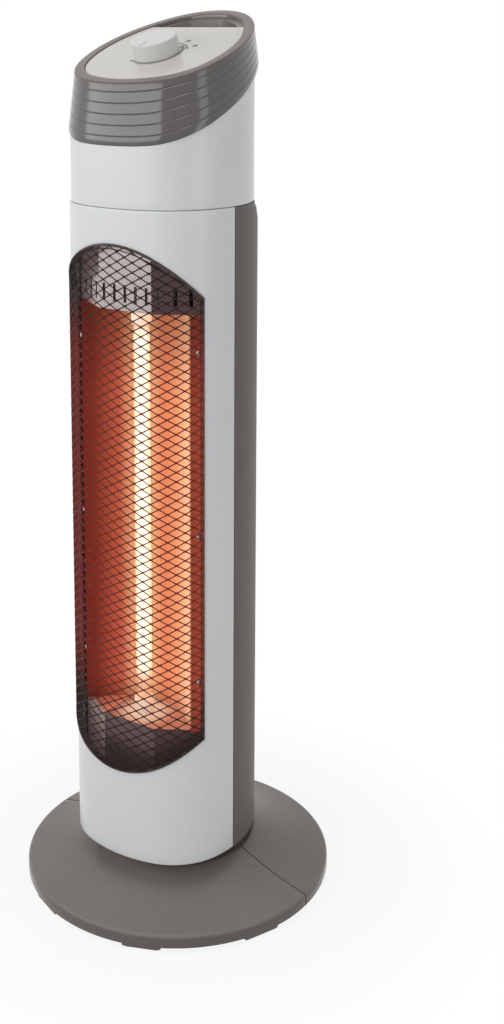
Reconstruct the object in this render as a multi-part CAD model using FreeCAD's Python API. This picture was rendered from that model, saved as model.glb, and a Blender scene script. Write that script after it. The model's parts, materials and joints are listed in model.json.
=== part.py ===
import FreeCAD
import Part
import math
import os

vec = FreeCAD.Vector
up = vec(0, 0, 1)

# overall, the two sizes printed beside the heater
total_height = 678.0
base_diameter = 240.0

# column plan: front, corner, side and rear arcs, each tangent to the next
half_width = 67.0
column_front = -78.4
column_rear = 63.0
column_widest = -16.0
front_radius = 102.5
corner_radius = 50.0
rear_radius = 57.0

# column heights, walls and the seams between its mouldings
column_bottom = 45.0
head_height = 138.0
seam_gap = 0.4
wall = 2.4
panel_split = -20.0
housing_step = 11.0
shoulder_height = 14.0
shoulder_middle = 6.0
shoulder_middle_step = 3.0
shoulder_top_step = 9.5
spigot_depth = 10.0
spigot_reach = 4.0
spigot_fit = 0.15

# rear cover: screw posts and air slots
post_x = 34.0
post_radius = 5.0
post_rise = 39.0
post_drop = 40.0
post_depth = 22.0
vent_width = 48.0
vent_height = 4.0
vent_pitch = 9.0
vent_count = 10
vent_rise = 67.0
vent_drop = 152.0

# screws and running fits
screw_core = 1.6
screw_head = 3.2
screw_head_height = 2.0
screw_bite = 2.0
screw_slack = 0.3
head_slack = 0.6
hub_screw_count = 6
running_gap = 0.05
overrun = 1.0

# base
rim_height = 14.0
rim_width = 3.0
skirt_bottom = 3.7
skirt_straight = 11.0
skirt_bevel = 0.8
skirt_bevel_height = 2.0
hub_opening = 60.0
hub_edge_height = 33.5
flare_sag = 2.0
base_wall = 2.4
base_seam = 0.5
ledge_width = 9.0
hub_sink = 2.3
foot_count = 8
foot_width = 32.0
foot_depth = 14.0
foot_taper = 2.0
foot_inset = 1.2
foot_sink = 2.0
pad_thickness = 1.2
pad_margin = 2.0
rib_thickness = 2.4
gland_radius = 3.0
gland_bore = 2.2
gland_length = 7.0
gland_land = 0.8
gland_inset = 0.4

# swivel
hub_clearance = 0.3
hub_plate_thickness = 3.6
bearing_height = 4.0
glide_margin = 7.0
glide_width = 8.0
glide_thickness = 2.0
spindle_radius = 12.0
spindle_bore = 8.0
bush_wall = 6.0
bush_height = 3.0
clip_thickness = 2.0
clip_inset = 1.0
floor_thickness = 3.0
floor_raise = 1.0

# oscillation drive; tooth proportions are in tooth sizes
tooth_size = 1.0
tooth_root = 1.2
tooth_tip = 0.85
tooth_half = 0.2 * math.pi
tooth_flank = 23.0
tooth_sink = 0.5
sun_teeth = 36
pinion_teeth = 16
gear_headroom = 4.0
gear_gap = 0.5
boss_margin = 4.0
motor_height = 17.0
motor_gap = 1.5
motor_clearance = 1.1
motor_roof = 4.0
motor_shaft = 2.5
shaft_hole_slack = 0.7
ear_reach = 5.0
ear_radius = 4.0
ear_thickness = 1.5

# tip-over switch
switch_place = -38.0
switch_size = 22.0
switch_bottom = 10.0
switch_floor = 3.0
switch_roof = 1.5
switch_slack = 0.5
plunger_radius = 4.0
plunger_flange = 2.0
plunger_travel = 5.0
plunger_spare = 1.0

# window and guard
window_margin = 7.0
window_drop = 25.7
window_top_rise = 36.6
window_rise = 69.3
window_bottom_sag = 30.2
guard_proud = 1.6
guard_sheet = 0.9
guard_fit = 0.25
guard_rim = 2.4
guard_flange = 1.5
guard_lap = 0.6
mesh_width = 26.0
mesh_height = 16.0
mesh_strand = 1.5

# reflector trough and its chassis
sheet = 1.0
mirror_sheet = 0.8
chassis_margin = 1.5
chassis_setback = 4.0
chassis_depth = 24.0
chassis_over = 4.0
arch_gap = 4.0
trough_margin = 8.5
trough_depth = 26.9
trough_setback = 2.0
trough_rise = 33.0
trough_drop = 50.5
trough_tab = 9.0
trough_steps = 6
lip_gap = 1.5
lip_screw_low = 39.7
lip_screw_middle = 152.7
lip_screw_high = 26.8
lip_screw_head = 2.4
lip_screw_height = 1.3
lip_screw_length = 5.0

# shields above and below the trough
shield_depth = 15.9
shield_facet_inset = 33.8
shield_corner_depth = 36.4
shield_over = 7.7
shield_under = 10.3
slot_rise = 6.0
slot_height = 12.8
slot_width = 2.4
slot_pitch = 9.6

# heating tube
tube_radius = 6.0
tube_wall = 1.0
cap_radius = 7.5
cap_length = 28.0
cap_show = 12.0
cap_grip = 10.0
cap_collar = 3.0
cap_fit = 0.2
filament_radius = 3.6
filament_rise = 29.7
filament_drop = 13.8

# parts behind the trough
cutout_radius = 9.0
cutout_height = 6.0
cutout_neck = 6.0
cutout_neck_height = 5.0
cutout_setback = 14.0
terminal_width = 36.0
terminal_depth = 14.0
terminal_height = 16.0
terminal_rise = 40.0
terminal_bore = 2.2
terminal_bore_depth = 9.0
terminal_ways = 4
terminal_pitch = 8.0

# head: collar, control panel and finger recess
collar_rise = 41.5
collar_bottom_slope = 0.535
collar_top_slope = 0.3825
collar_shift = 1.5
collar_inset = 4.0
collar_draft = 0.12
collar_depth = 60.0
collar_over = 12.0
collar_steps = 72
collar_wall = 2.6
rim_thickness = 3.0
collar_floor = 2.5
rim_band = 11.5
groove_count = 5
groove_first = 7.0
groove_pitch = 7.4
groove_width = 1.0
groove_depth = 0.8
recess_length = 34.6
panel_fit = 0.3
panel_flange = 2.5
panel_ledge = 4.0
panel_sink = 0.6
cup_inset = 1.5
cup_ledge = 3.0

# dial
knob_place = -22.0
knob_radius = 17.0
knob_height = 12.4
knob_round = 1.2
knob_roof = 3.0
pointer_width = 1.4
pointer_depth = 0.8
pointer_start = 6.0
knob_gap = 0.6
shaft_radius = 3.0
shaft_slack = 1.2
dial_switch_size = 26.0
dial_switch_depth = 18.0
dial_switch_floor = 4.0

# heights that follow from the sizes above, from the floor up
base_radius = base_diameter / 2
ledge_top = hub_edge_height - hub_sink - hub_plate_thickness
hub_top = ledge_top + hub_plate_thickness
glide_bottom = hub_top + bearing_height
glide_top = glide_bottom + glide_thickness
skirt_low = glide_top + running_gap
floor_bottom = column_bottom + floor_raise
floor_top = floor_bottom + floor_thickness
bush_top = floor_top + bush_height
spindle_top = bush_top + 2 * clip_thickness
gear_height = floor_bottom - glide_top - gear_headroom
head_seam = total_height - head_height
column_top = head_seam - seam_gap
window_bottom = column_bottom + window_rise
window_top = head_seam - window_drop
trough_bottom = window_bottom + trough_rise
trough_top = window_top - trough_drop
shield_upper = window_top + shield_over
shield_lower = window_bottom - shield_under
chassis_top = shield_upper + chassis_over
post_heights = (column_bottom + post_rise, head_seam - post_drop)
head_top = total_height + collar_over

# places in plan that follow from the sizes above
ledge_inner = hub_opening - ledge_width
screw_circle = hub_opening - (ledge_width + hub_clearance) / 2
glide_outer = hub_opening - glide_margin
glide_inner = glide_outer - glide_width
bush_radius = spindle_radius + bush_wall
foot_out = base_radius - foot_inset
gland_height = skirt_bottom + gland_radius + gland_land
sun_radius = tooth_size * sun_teeth / 2
pinion_radius = tooth_size * pinion_teeth / 2
pinion_y = sun_radius + pinion_radius
motor_radius = (column_rear - wall - motor_clearance - bush_radius - motor_gap) / 2
motor_y = bush_radius + motor_gap + motor_radius
motor_ears = (-motor_radius - ear_reach, motor_radius + ear_reach)
housing_rear = column_rear - housing_step
post_seat = column_rear - post_depth
window_half = half_width - window_margin
chassis_half = window_half - chassis_margin
chassis_in = chassis_half - sheet
chassis_back = panel_split + chassis_setback
chassis_rear = chassis_back + sheet
chassis_lip = chassis_back - chassis_depth
trough_edge = chassis_half - trough_margin
trough_front = column_front + trough_depth
trough_back = panel_split - trough_setback
focal_length = trough_edge ** 2 / (4 * (trough_back - trough_front))
tube_y = trough_back - focal_length
shield_front = column_front + shield_depth
shield_facet = chassis_in - shield_facet_inset
shield_corner = column_front + shield_corner_depth
panel_rear = column_rear - recess_length
collar_rear = column_rear + collar_shift - collar_inset
far = total_height + base_diameter


def block(x0, x1, y0, y1, z0, z1):
    return Part.makeBox(x1 - x0, y1 - y0, z1 - z0, vec(x0, y0, z0))


def rod(radius, x, y, z0, z1):
    return Part.makeCylinder(radius, z1 - z0, vec(x, y, z0), up)


def tube(outer, inner, x, y, z0, z1):
    return rod(outer, x, y, z0, z1).cut(rod(inner, x, y, z0, z1))


def rod_along_y(radius, x, z, y0, y1):
    return Part.makeCylinder(radius, y1 - y0, vec(x, y0, z), vec(0, 1, 0))


def fuse(first, *others):
    return first.multiFuse(list(others)).removeSplitter()


def polygon(points):
    return Part.Face(Part.makePolygon(points + [points[0]]))


def save(name, shape):
    shape.exportStep(os.path.join("parts", name + ".step"))


def bearing(point):
    return math.degrees(math.atan2(point.y, point.x))


def on_circle(radius, angle):
    return radius * math.cos(math.radians(angle)), radius * math.sin(math.radians(angle))


def before(y):
    return block(-far, far, -far, y, -far, far)


def behind(y):
    return block(-far, far, y, far, -far, far)


def column_plan(rear):
    # the side arc passes through the widest point and meets the rear arc; the corner arc joins it to the front
    drop = rear - rear_radius - column_widest
    side = (half_width ** 2 + drop ** 2 - rear_radius ** 2) / (2 * (half_width - rear_radius))
    front_c = vec(0, column_front + front_radius, 0)
    rear_c = vec(0, rear - rear_radius, 0)
    side_c = vec(half_width - side, column_widest, 0)
    reach = side_c - front_c
    a = front_radius - corner_radius
    b = side - corner_radius
    along = (a * a - b * b + reach.Length ** 2) / (2 * reach.Length)
    off = math.sqrt(a * a - along * along)
    line = vec(reach).normalize()
    corner_c = front_c + line * along + vec(-line.y, line.x, 0) * off
    return front_c, corner_c, side_c, rear_c, side


def outline(inset, z, rear=column_rear):
    front_c, corner_c, side_c, rear_c, side = column_plan(rear)
    a1 = bearing(corner_c - front_c)
    a2 = bearing(corner_c - side_c)
    a3 = bearing(rear_c - side_c)
    lift = vec(0, 0, z)
    mirror = lambda c: vec(-c.x, c.y, z)
    arcs = [
        (front_radius, front_c + lift, -180 - a1, a1),
        (corner_radius, corner_c + lift, a1, a2),
        (side, side_c + lift, a2, a3),
        (rear_radius, rear_c + lift, a3, 180 - a3),
        (side, mirror(side_c), 180 - a3, 180 - a2),
        (corner_radius, mirror(corner_c), 180 - a2, 180 - a1),
    ]
    return Part.Wire([Part.makeCircle(r - inset, c, up, s, e) for r, c, s, e in arcs])


def prism(inset, z0, z1, rear=column_rear):
    return Part.Face(outline(inset, z0, rear)).extrude(vec(0, 0, z1 - z0))


def shell(inset, thickness, z0, z1, rear=column_rear):
    return prism(inset, z0, z1, rear).cut(prism(inset + thickness, z0, z1, rear))


def flare(drop, r0, r1):
    # three points of the base's hollow top, sunk by drop
    rim = base_radius - rim_width

    def height(r):
        t = (rim - r) / (rim - hub_opening)
        return rim_height + t * (hub_edge_height - rim_height) - 4 * flare_sag * t * (1 - t) - drop
    return [vec(r, 0, height(r)) for r in (r0, (r0 + r1) / 2, r1)]


def lines(*points):
    return [Part.makeLine(a, b) for a, b in zip(points, points[1:])]


def ring_solid(edges):
    return Part.Face(Part.Wire(edges)).revolve(vec(0, 0, 0), up, 360)


def base_ring():
    rim = base_radius - rim_width
    skirt_in = base_radius - base_wall
    ledge_low = ledge_top - base_wall
    throat = hub_opening + base_wall
    top = flare(0, rim, hub_opening)
    low = flare(base_wall, throat, rim)
    quarter = 1 - math.cos(math.pi / 4)
    bend = vec(base_radius - quarter * rim_width, 0, rim_height - quarter * (rim_height - skirt_straight))
    toe = vec(base_radius - skirt_bevel, 0, skirt_bottom)
    shoulder = vec(base_radius, 0, skirt_straight)
    edges = lines(toe, vec(base_radius, 0, skirt_bottom + skirt_bevel_height), shoulder)
    edges.append(Part.Arc(shoulder, bend, top[0]).toShape())
    edges.append(Part.Arc(*top).toShape())
    edges += lines(top[2], vec(hub_opening, 0, ledge_top), vec(ledge_inner, 0, ledge_top),
                   vec(ledge_inner, 0, ledge_low), vec(throat, 0, ledge_low), low[0])
    edges.append(Part.Arc(*low).toShape())
    edges += lines(low[2], vec(skirt_in, 0, skirt_straight), vec(skirt_in, 0, skirt_bottom), toe)
    return ring_solid(edges)


def base_ribs():
    half_wall = base_wall / 2
    roof = flare(half_wall, hub_opening + half_wall, base_radius - rim_width)
    low = skirt_bottom + skirt_bevel_height
    skirt_mid = base_radius - half_wall
    edges = [Part.Arc(*roof).toShape()]
    edges += lines(roof[2], vec(skirt_mid, 0, skirt_straight), vec(skirt_mid, 0, low),
                   vec(roof[0].x, 0, low), roof[0])
    half = rib_thickness / 2
    bars = []
    for angle in foot_angles()[:foot_count // 2]:
        bar = block(-base_radius, base_radius, -half, half, 0, hub_edge_height)
        bar.rotate(vec(0, 0, 0), up, angle)
        bars.append(bar)
    return ring_solid(edges).common(Part.makeCompound(bars))


def foot_angles():
    return [(k + 0.5) * 360 / foot_count for k in range(foot_count)]


def foot(angle):
    half = foot_width / 2
    toe = half - foot_taper
    top = rim_height - foot_sink
    pts = [(-half, top), (half, top), (half, skirt_bottom), (toe, pad_thickness),
           (-toe, pad_thickness), (-half, skirt_bottom)]
    solid = polygon([vec(foot_out - foot_depth, t, z) for t, z in pts]).extrude(vec(foot_depth, 0, 0))
    solid.rotate(vec(0, 0, 0), up, angle)
    return solid


def foot_pad(angle):
    half = foot_width / 2 - foot_taper - pad_margin
    solid = block(foot_out - foot_depth + pad_margin, foot_out - pad_margin, -half, half, 0, pad_thickness)
    solid.rotate(vec(0, 0, 0), up, angle)
    return solid


def hub_screw_spots():
    return [on_circle(screw_circle, (k + 0.5) * 360 / hub_screw_count) for k in range(hub_screw_count)]


def build_base():
    ring = fuse(base_ring(), base_ribs(), *[foot(a) for a in foot_angles()])
    tools = [rod(screw_core, x, y, 0, hub_top) for x, y in hub_screw_spots()]
    gland_end = base_radius - gland_inset
    gland_start = gland_end - gland_length
    tools.append(rod_along_y(gland_radius, 0, gland_height, gland_start, base_radius + overrun))
    ring = ring.cut(Part.makeCompound(tools))
    save("base_front_half", ring.common(before(-base_seam / 2)))
    save("base_rear_half", ring.common(behind(base_seam / 2)))
    save("foot_pads", Part.makeCompound([foot_pad(a) for a in foot_angles()]))

    plate = rod(hub_opening - hub_clearance, 0, 0, ledge_top, hub_top)
    raised = tube(glide_outer, glide_inner, 0, 0, hub_top, glide_bottom)
    boss = rod(sun_radius + boss_margin, 0, 0, hub_top, glide_top)
    spindle = rod(spindle_radius, 0, 0, hub_top, spindle_top)
    screw_tip = hub_top - screw_head_height / 2
    holes = [rod(spindle_bore, 0, 0, 0, far)]
    holes += [rod(screw_core, x, y, 0, screw_tip) for x, y in hub_screw_spots()]
    save("hub_plate", fuse(plate, raised, boss, spindle).cut(Part.makeCompound(holes)))

    seat = ledge_top - base_wall
    screws = []
    for x, y in hub_screw_spots():
        head = rod(screw_head, x, y, seat - screw_head_height, seat)
        screws.append(head.fuse(rod(screw_core, x, y, seat, screw_tip)))
    save("hub_screws", Part.makeCompound(screws))
    save("glide_ring", tube(glide_outer, glide_inner, 0, 0, glide_bottom, glide_top))

    clip_low = bush_top + running_gap
    clip = tube(bush_radius - clip_inset, spindle_radius, 0, 0, clip_low, clip_low + clip_thickness)
    mouth = block(-spindle_radius / 2, spindle_radius / 2, -far, 0, 0, far)
    save("retaining_ring", clip.cut(mouth))

    sleeve = rod_along_y(gland_radius, 0, gland_height, gland_start, gland_end)
    bore = rod_along_y(gland_bore, 0, gland_height, gland_start, gland_end)
    save("cord_grommet", sleeve.cut(bore))


def gear(teeth, height, z, bore, phase):
    # straight-flanked teeth, thinned at the pitch circle for backlash
    pitch = tooth_size * teeth / 2
    root = pitch - tooth_root * tooth_size
    tip = pitch + tooth_tip * tooth_size
    inner = root - tooth_sink * tooth_size
    mid = tooth_half * tooth_size
    slope = math.tan(math.radians(tooth_flank))
    root_half = mid + slope * (pitch - root)
    tip_half = mid - slope * (tip - pitch)
    bars = []
    for k in range(teeth):
        pts = [vec(inner, -root_half, z), vec(root, -root_half, z), vec(tip, -tip_half, z),
               vec(tip, tip_half, z), vec(root, root_half, z), vec(inner, root_half, z)]
        bar = polygon(pts).extrude(vec(0, 0, height))
        bar.rotate(vec(0, 0, 0), up, phase + 360 / teeth * k)
        bars.append(bar)
    return fuse(rod(root, 0, 0, z, z + height), *bars).cut(rod(bore, 0, 0, z, z + height))


def build_drive():
    save("fixed_gear", gear(sun_teeth, gear_height, glide_top, spindle_radius, 90))
    low = glide_top + gear_gap
    well_top = floor_top + motor_height - motor_roof
    wheel = gear(pinion_teeth, gear_height - 2 * gear_gap, low, motor_shaft / 2, -90 + 180 / pinion_teeth)
    wheel = fuse(wheel, rod(motor_shaft, 0, 0, low, well_top - overrun))
    wheel.translate(vec(0, pinion_y, 0))
    save("drive_pinion", wheel)

    seat = floor_top + ear_thickness
    can = rod(motor_radius, 0, motor_y, floor_top, floor_top + motor_height)
    strap = block(*motor_ears, motor_y - ear_radius, motor_y + ear_radius, floor_top, seat)
    ends = [rod(ear_radius, x, motor_y, floor_top, seat) for x in motor_ears]
    holes = [rod(screw_core, x, motor_y, 0, far) for x in motor_ears]
    holes.append(rod(motor_shaft + running_gap, 0, pinion_y, 0, well_top))
    save("swing_motor", fuse(can, strap, *ends).cut(Part.makeCompound(holes)))
    screws = []
    for x in motor_ears:
        head = rod(screw_head, x, motor_y, seat, seat + screw_head_height)
        screws.append(head.fuse(rod(screw_core, x, motor_y, floor_bottom, seat)))
    save("motor_screws", Part.makeCompound(screws))


def build_tip_switch():
    half = switch_size / 2
    flange = plunger_radius + plunger_flange
    throat = switch_bottom + switch_floor
    flange_low = throat + plunger_travel + plunger_spare
    flange_top = flange_low + plunger_flange
    case = block(-half, half, switch_place - half, switch_place + half, switch_bottom, ledge_top)
    bore = rod(plunger_radius + running_gap, 0, switch_place, 0, throat)
    chamber = rod(flange + switch_slack, 0, switch_place, throat, ledge_top - switch_roof)
    save("tip_switch", case.cut(bore).cut(chamber))
    pin = rod(plunger_radius, 0, switch_place, 0, flange_top)
    save("tip_plunger", fuse(pin, rod(flange, 0, switch_place, flange_low, flange_top)))


def posts(radius, y0, y1):
    return [rod_along_y(radius, x, z, y0, y1) for x in (-post_x, post_x) for z in post_heights]


def shouldered(inset, bottom, over):
    # the rear cover's form: upright to its shoulder, then drawn in towards the narrower head above it
    low = column_top - shoulder_height
    throat = column_rear - shoulder_top_step
    rings = [(bottom, column_rear), (low, column_rear),
             (column_top - shoulder_middle, column_rear - shoulder_middle_step), (column_top, throat)]
    if over:
        rings.append((column_top + over, throat))
    return Part.makeLoft([outline(inset, z, rear) for z, rear in rings], True, True)


def build_column():
    slab = prism(wall, floor_bottom, floor_top)
    skirt = tube(glide_outer, glide_inner, 0, 0, skirt_low, floor_bottom)
    skirt = skirt.common(prism(wall, skirt_low, floor_bottom))
    bush = rod(bush_radius, 0, 0, floor_top, bush_top)
    holes = [rod(spindle_radius + running_gap, 0, 0, 0, far),
             rod(motor_shaft + shaft_hole_slack, 0, pinion_y, 0, far)]
    holes += [rod(screw_core, x, motor_y, floor_bottom, floor_top) for x in motor_ears]
    save("column_floor", fuse(slab, skirt, bush).cut(Part.makeCompound(holes)))

    front = shell(0, wall, column_bottom, column_top).common(before(panel_split - seam_gap / 2))
    save("front_panel", front.cut(window(0)))

    rear = shouldered(0, column_bottom, 0).common(behind(panel_split + seam_gap / 2))
    rear = rear.cut(shouldered(wall, column_bottom - overrun, overrun))
    inside = prism(wall / 2, column_bottom, column_top - shoulder_height)
    rear = fuse(rear, *[p.common(inside) for p in posts(post_radius, chassis_rear, column_rear)])
    tools = posts(screw_core + screw_slack, chassis_rear - overrun, column_rear)
    tools += posts(screw_head + head_slack, post_seat, column_rear + overrun)
    for first in (column_bottom + vent_rise, head_seam - vent_drop):
        for k in range(vent_count):
            z = first + vent_pitch * k
            tools.append(block(-vent_width / 2, vent_width / 2, column_rear - rear_radius / 2,
                               column_rear + overrun, z, z + vent_height))
    save("rear_cover", rear.cut(Part.makeCompound(tools)))

    heads = posts(screw_head, post_seat, post_seat + screw_head_height)
    cores = posts(screw_core, chassis_back - screw_bite, post_seat)
    save("cover_screws", Part.makeCompound([h.fuse(c) for h, c in zip(heads, cores)]))


def bow(apex, rise, sign):
    # radius and centre height of an arch from its rise over the window's width
    radius = (window_half ** 2 + rise ** 2) / (2 * rise)
    return radius, apex - sign * radius


def window(grow):
    x = window_half + grow
    r_top, c_top = bow(window_top, window_top_rise, 1)
    r_low, c_low = bow(window_bottom, window_bottom_sag, -1)
    r_top += grow
    r_low += grow
    z_top = c_top + math.sqrt(r_top ** 2 - x ** 2)
    z_low = c_low - math.sqrt(r_low ** 2 - x ** 2)
    a, b, c, d = [vec(u, -far, z) for u, z in ((x, z_top), (-x, z_top), (-x, z_low), (x, z_low))]
    edges = [Part.Arc(a, vec(0, -far, c_top + r_top), b).toShape(), Part.makeLine(b, c),
             Part.Arc(c, vec(0, -far, c_low - r_low), d).toShape(), Part.makeLine(d, a)]
    return Part.Face(Part.Wire(edges)).extrude(vec(0, panel_split + far, 0))


def across(s):
    # X of the point that lies s along the column's front from its middle
    front_c, corner_c, side_c, rear_c, side = column_plan(column_rear)
    a1 = math.radians(bearing(corner_c - front_c))
    bend = front_radius * (a1 + math.pi / 2)
    if abs(s) <= bend:
        return front_radius * math.sin(s / front_radius)
    turn = a1 + (abs(s) - bend) / corner_radius
    return math.copysign(corner_c.x + corner_radius * math.cos(turn), s)


def build_guard():
    band = shell(-guard_proud, guard_proud + wall + guard_flange, column_bottom, column_top)
    edge = band.common(window(-guard_fit)).cut(window(-guard_rim))
    backing = shell(wall + running_gap, guard_flange - running_gap, column_bottom, column_top)
    backing = backing.common(window(guard_lap)).cut(window(-guard_rim))
    save("guard_rim", fuse(edge, backing))

    net = shell(-guard_proud, guard_sheet, column_bottom, column_top).common(window(-guard_rim))
    half_w = mesh_width / 2
    half_h = mesh_height / 2
    gap_w = half_w - mesh_strand
    gap_h = gap_w * half_h / half_w
    columns = int(math.pi / 2 * window_half / half_w)
    rows = int((window_top - window_bottom) / half_h) + 1
    cells = []
    for i in range(-columns, columns + 1):
        for j in range(i % 2, rows + 1, 2):
            s = i * half_w
            z = window_bottom + j * half_h
            pts = [vec(across(s - gap_w), -far, z), vec(across(s), -far, z - gap_h),
                   vec(across(s + gap_w), -far, z), vec(across(s), -far, z + gap_h)]
            cells.append(polygon(pts).extrude(vec(0, panel_split + far, 0)))
    inner = window(-guard_rim - mesh_strand)
    save("guard_mesh", net.cut(Part.makeCompound(cells).common(inner)))


def trough_point(x, offset):
    # the trough is a parabola; offset moves the point along its normal
    depth = (trough_back - trough_front) / trough_edge ** 2
    slope = -2 * depth * x
    length = math.hypot(1, slope)
    return vec(x - slope / length * offset, trough_back - depth * x * x + offset / length, trough_bottom)


def trough_curve(offset):
    curve = Part.BSplineCurve()
    places = [trough_edge * k / trough_steps for k in range(-trough_steps, trough_steps + 1)]
    curve.interpolate([trough_point(x, offset) for x in places])
    return curve.toShape()


def strip(p, q, thickness, z0, z1):
    run = (q - p).normalize()
    side = vec(run.y, -run.x, 0) * thickness
    pts = [vec(v.x, v.y, z0) for v in (p, q, q + side, p + side)]
    return polygon(pts).extrude(vec(0, 0, z1 - z0))


def build_trough():
    ends = [lines(trough_point(x, 0), trough_point(x, mirror_sheet))[0] for x in (-trough_edge, trough_edge)]
    face = Part.Face(Part.Wire([trough_curve(0), ends[1], trough_curve(mirror_sheet), ends[0]]))
    body = [face.extrude(vec(0, 0, trough_top - trough_bottom))]
    screws = []
    holes = []
    for side in (-1, 1):
        start = vec(side * trough_edge, trough_front, 0)
        end = vec(side * chassis_in, chassis_lip - lip_gap, 0)
        body.append(strip(start, end, -side * mirror_sheet, trough_bottom, trough_top))
        x = sorted((side * chassis_in, side * (chassis_in - mirror_sheet)))
        body.append(block(*x, end.y, end.y + trough_tab, trough_bottom, trough_top))
        run = (end - start).normalize()
        facing = vec(run.y, -run.x, 0) * side
        for z in (trough_bottom + lip_screw_low, trough_bottom + lip_screw_middle, trough_top - lip_screw_high):
            spot = (start + end) * 0.5 + vec(0, 0, z)
            back = spot - facing * lip_screw_length
            shank = Part.makeCylinder(screw_core, lip_screw_length, back, facing)
            screws.append(Part.makeCylinder(lip_screw_head, lip_screw_height, spot, facing).fuse(shank))
            holes.append(Part.makeCylinder(screw_core, lip_screw_length + lip_screw_height, back, facing))
    keep = block(-chassis_in, chassis_in, -far, far, trough_bottom, trough_top)
    save("reflector", fuse(*body).common(keep).cut(Part.makeCompound(holes)))
    save("reflector_screws", Part.makeCompound(screws))


def shield(z_plate, z0, z1):
    c = chassis_in
    plan = [(-c, chassis_back), (-c, shield_corner), (-shield_facet, shield_front),
            (shield_facet, shield_front), (c, shield_corner), (c, chassis_back)]
    corners = [vec(x, y, 0) for x, y in plan]
    plate = polygon([p + vec(0, 0, z_plate) for p in corners]).extrude(vec(0, 0, sheet))
    walls = [strip(p, q, -mirror_sheet, z0, z1) for p, q in zip(corners[1:4], corners[2:5])]
    limit = polygon([p + vec(0, 0, z0) for p in corners]).extrude(vec(0, 0, z1 - z0))
    hole = rod(cap_radius + cap_fit, 0, tube_y, z_plate, z_plate + sheet)
    return fuse(plate, *walls).common(limit).cut(hole)


def build_shields():
    upper = shield(trough_top, trough_top, shield_upper)
    count = int(chassis_in / slot_pitch - 0.5)
    low = trough_top + slot_rise
    slots = []
    for k in range(-count, count + 1):
        x = k * slot_pitch
        slots.append(block(x - slot_width / 2, x + slot_width / 2, column_front, shield_corner + wall,
                           low, low + slot_height))
    save("upper_shield", upper.cut(Part.makeCompound(slots)))
    save("lower_shield", shield(trough_bottom - sheet, shield_lower, trough_bottom))


def build_element():
    side = [block(x, x + sheet, chassis_lip, chassis_back, floor_top, chassis_top)
            for x in (-chassis_half, chassis_in)]
    back = block(-chassis_half, chassis_half, chassis_back, chassis_rear, floor_top, chassis_top)
    frame = fuse(back, *side).cut(Part.makeCompound(posts(screw_core, chassis_back - screw_bite, chassis_rear)))
    save("lamp_chassis", frame.cut(rod(bush_radius + arch_gap, 0, 0, floor_bottom, spindle_top + arch_gap)))

    low = trough_bottom + cap_show
    high = trough_top - cap_show
    tube_low = low - cap_grip
    tube_high = high + cap_grip
    plate_low = trough_bottom - sheet
    plate_high = trough_top + sheet
    save("quartz_tube", tube(tube_radius, tube_radius - tube_wall, 0, tube_y, tube_low, tube_high))
    bore = rod(tube_radius, 0, tube_y, tube_low, tube_high)
    collar = cap_radius + cap_collar
    lower = fuse(rod(cap_radius, 0, tube_y, low - cap_length, low),
                 rod(collar, 0, tube_y, plate_low - cap_collar, plate_low))
    upper = fuse(rod(cap_radius, 0, tube_y, high, high + cap_length),
                 rod(collar, 0, tube_y, plate_high, plate_high + cap_collar))
    save("lower_cap", lower.cut(bore))
    save("upper_cap", upper.cut(bore))
    core = rod(filament_radius, 0, tube_y, trough_bottom + filament_rise, trough_top - filament_drop)
    save("carbon_filament", fuse(core, rod(filament_radius / 2, 0, tube_y, tube_low, tube_high)))

    x = chassis_in / 2
    y = chassis_back - cutout_setback
    neck_low = plate_high + cutout_height
    disc = rod(cutout_radius, x, y, plate_high, neck_low)
    save("thermal_cutout", fuse(disc, rod(cutout_neck, x, y, neck_low, neck_low + cutout_neck_height)))

    z = post_heights[0] + terminal_rise
    body = block(-terminal_width / 2, terminal_width / 2, chassis_rear, chassis_rear + terminal_depth,
                 z, z + terminal_height)
    ways = []
    for k in range(terminal_ways):
        x = (k - (terminal_ways - 1) / 2) * terminal_pitch
        ways.append(rod(terminal_bore, x, chassis_rear + terminal_bore_depth, z, z + terminal_height))
    save("terminal_block", body.cut(Part.makeCompound(ways)))


def top_line(y):
    return total_height + collar_top_slope * (y - collar_rear)


def bottom_line(y):
    return head_seam + collar_rise + collar_bottom_slope * (y - column_front)


def shifted(line, by):
    return lambda y: line(y) + by


def slab_between(low, high):
    # slab across the whole width between two sloping lines
    pts = [vec(-far, -far, low(-far)), vec(-far, far, low(far)), vec(-far, far, high(far)),
           vec(-far, -far, high(-far))]
    return polygon(pts).extrude(vec(2 * far, 0, 0))


def crop(shape, low, high):
    # keeps what lies between two sloping lines, which may cross behind the collar
    return shape.cut(slab_between(shifted(low, -far), low)).cut(slab_between(high, shifted(high, far)))


def sloping_outline(inset, drop):
    # the column's outline laid in a plane that lies drop below the collar's top plane
    flat = outline(inset, 0).discretize(Number=collar_steps + 1)[:-1]
    curve = Part.BSplineCurve()
    curve.interpolate([vec(p.x, p.y + collar_shift, top_line(p.y + collar_shift) - drop) for p in flat], True)
    return Part.Wire(curve.toShape())


def drafted(inset):
    # the collar widens downwards from its top plane
    inset += collar_inset
    low = sloping_outline(inset - collar_draft * collar_depth, collar_depth)
    high = sloping_outline(inset + collar_draft * collar_over, -collar_over)
    return Part.makeLoft([low, high], True, True)


def head_prism(inset):
    solid = prism(inset, head_seam, head_top)
    solid.translate(vec(0, collar_shift, 0))
    return solid


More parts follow.
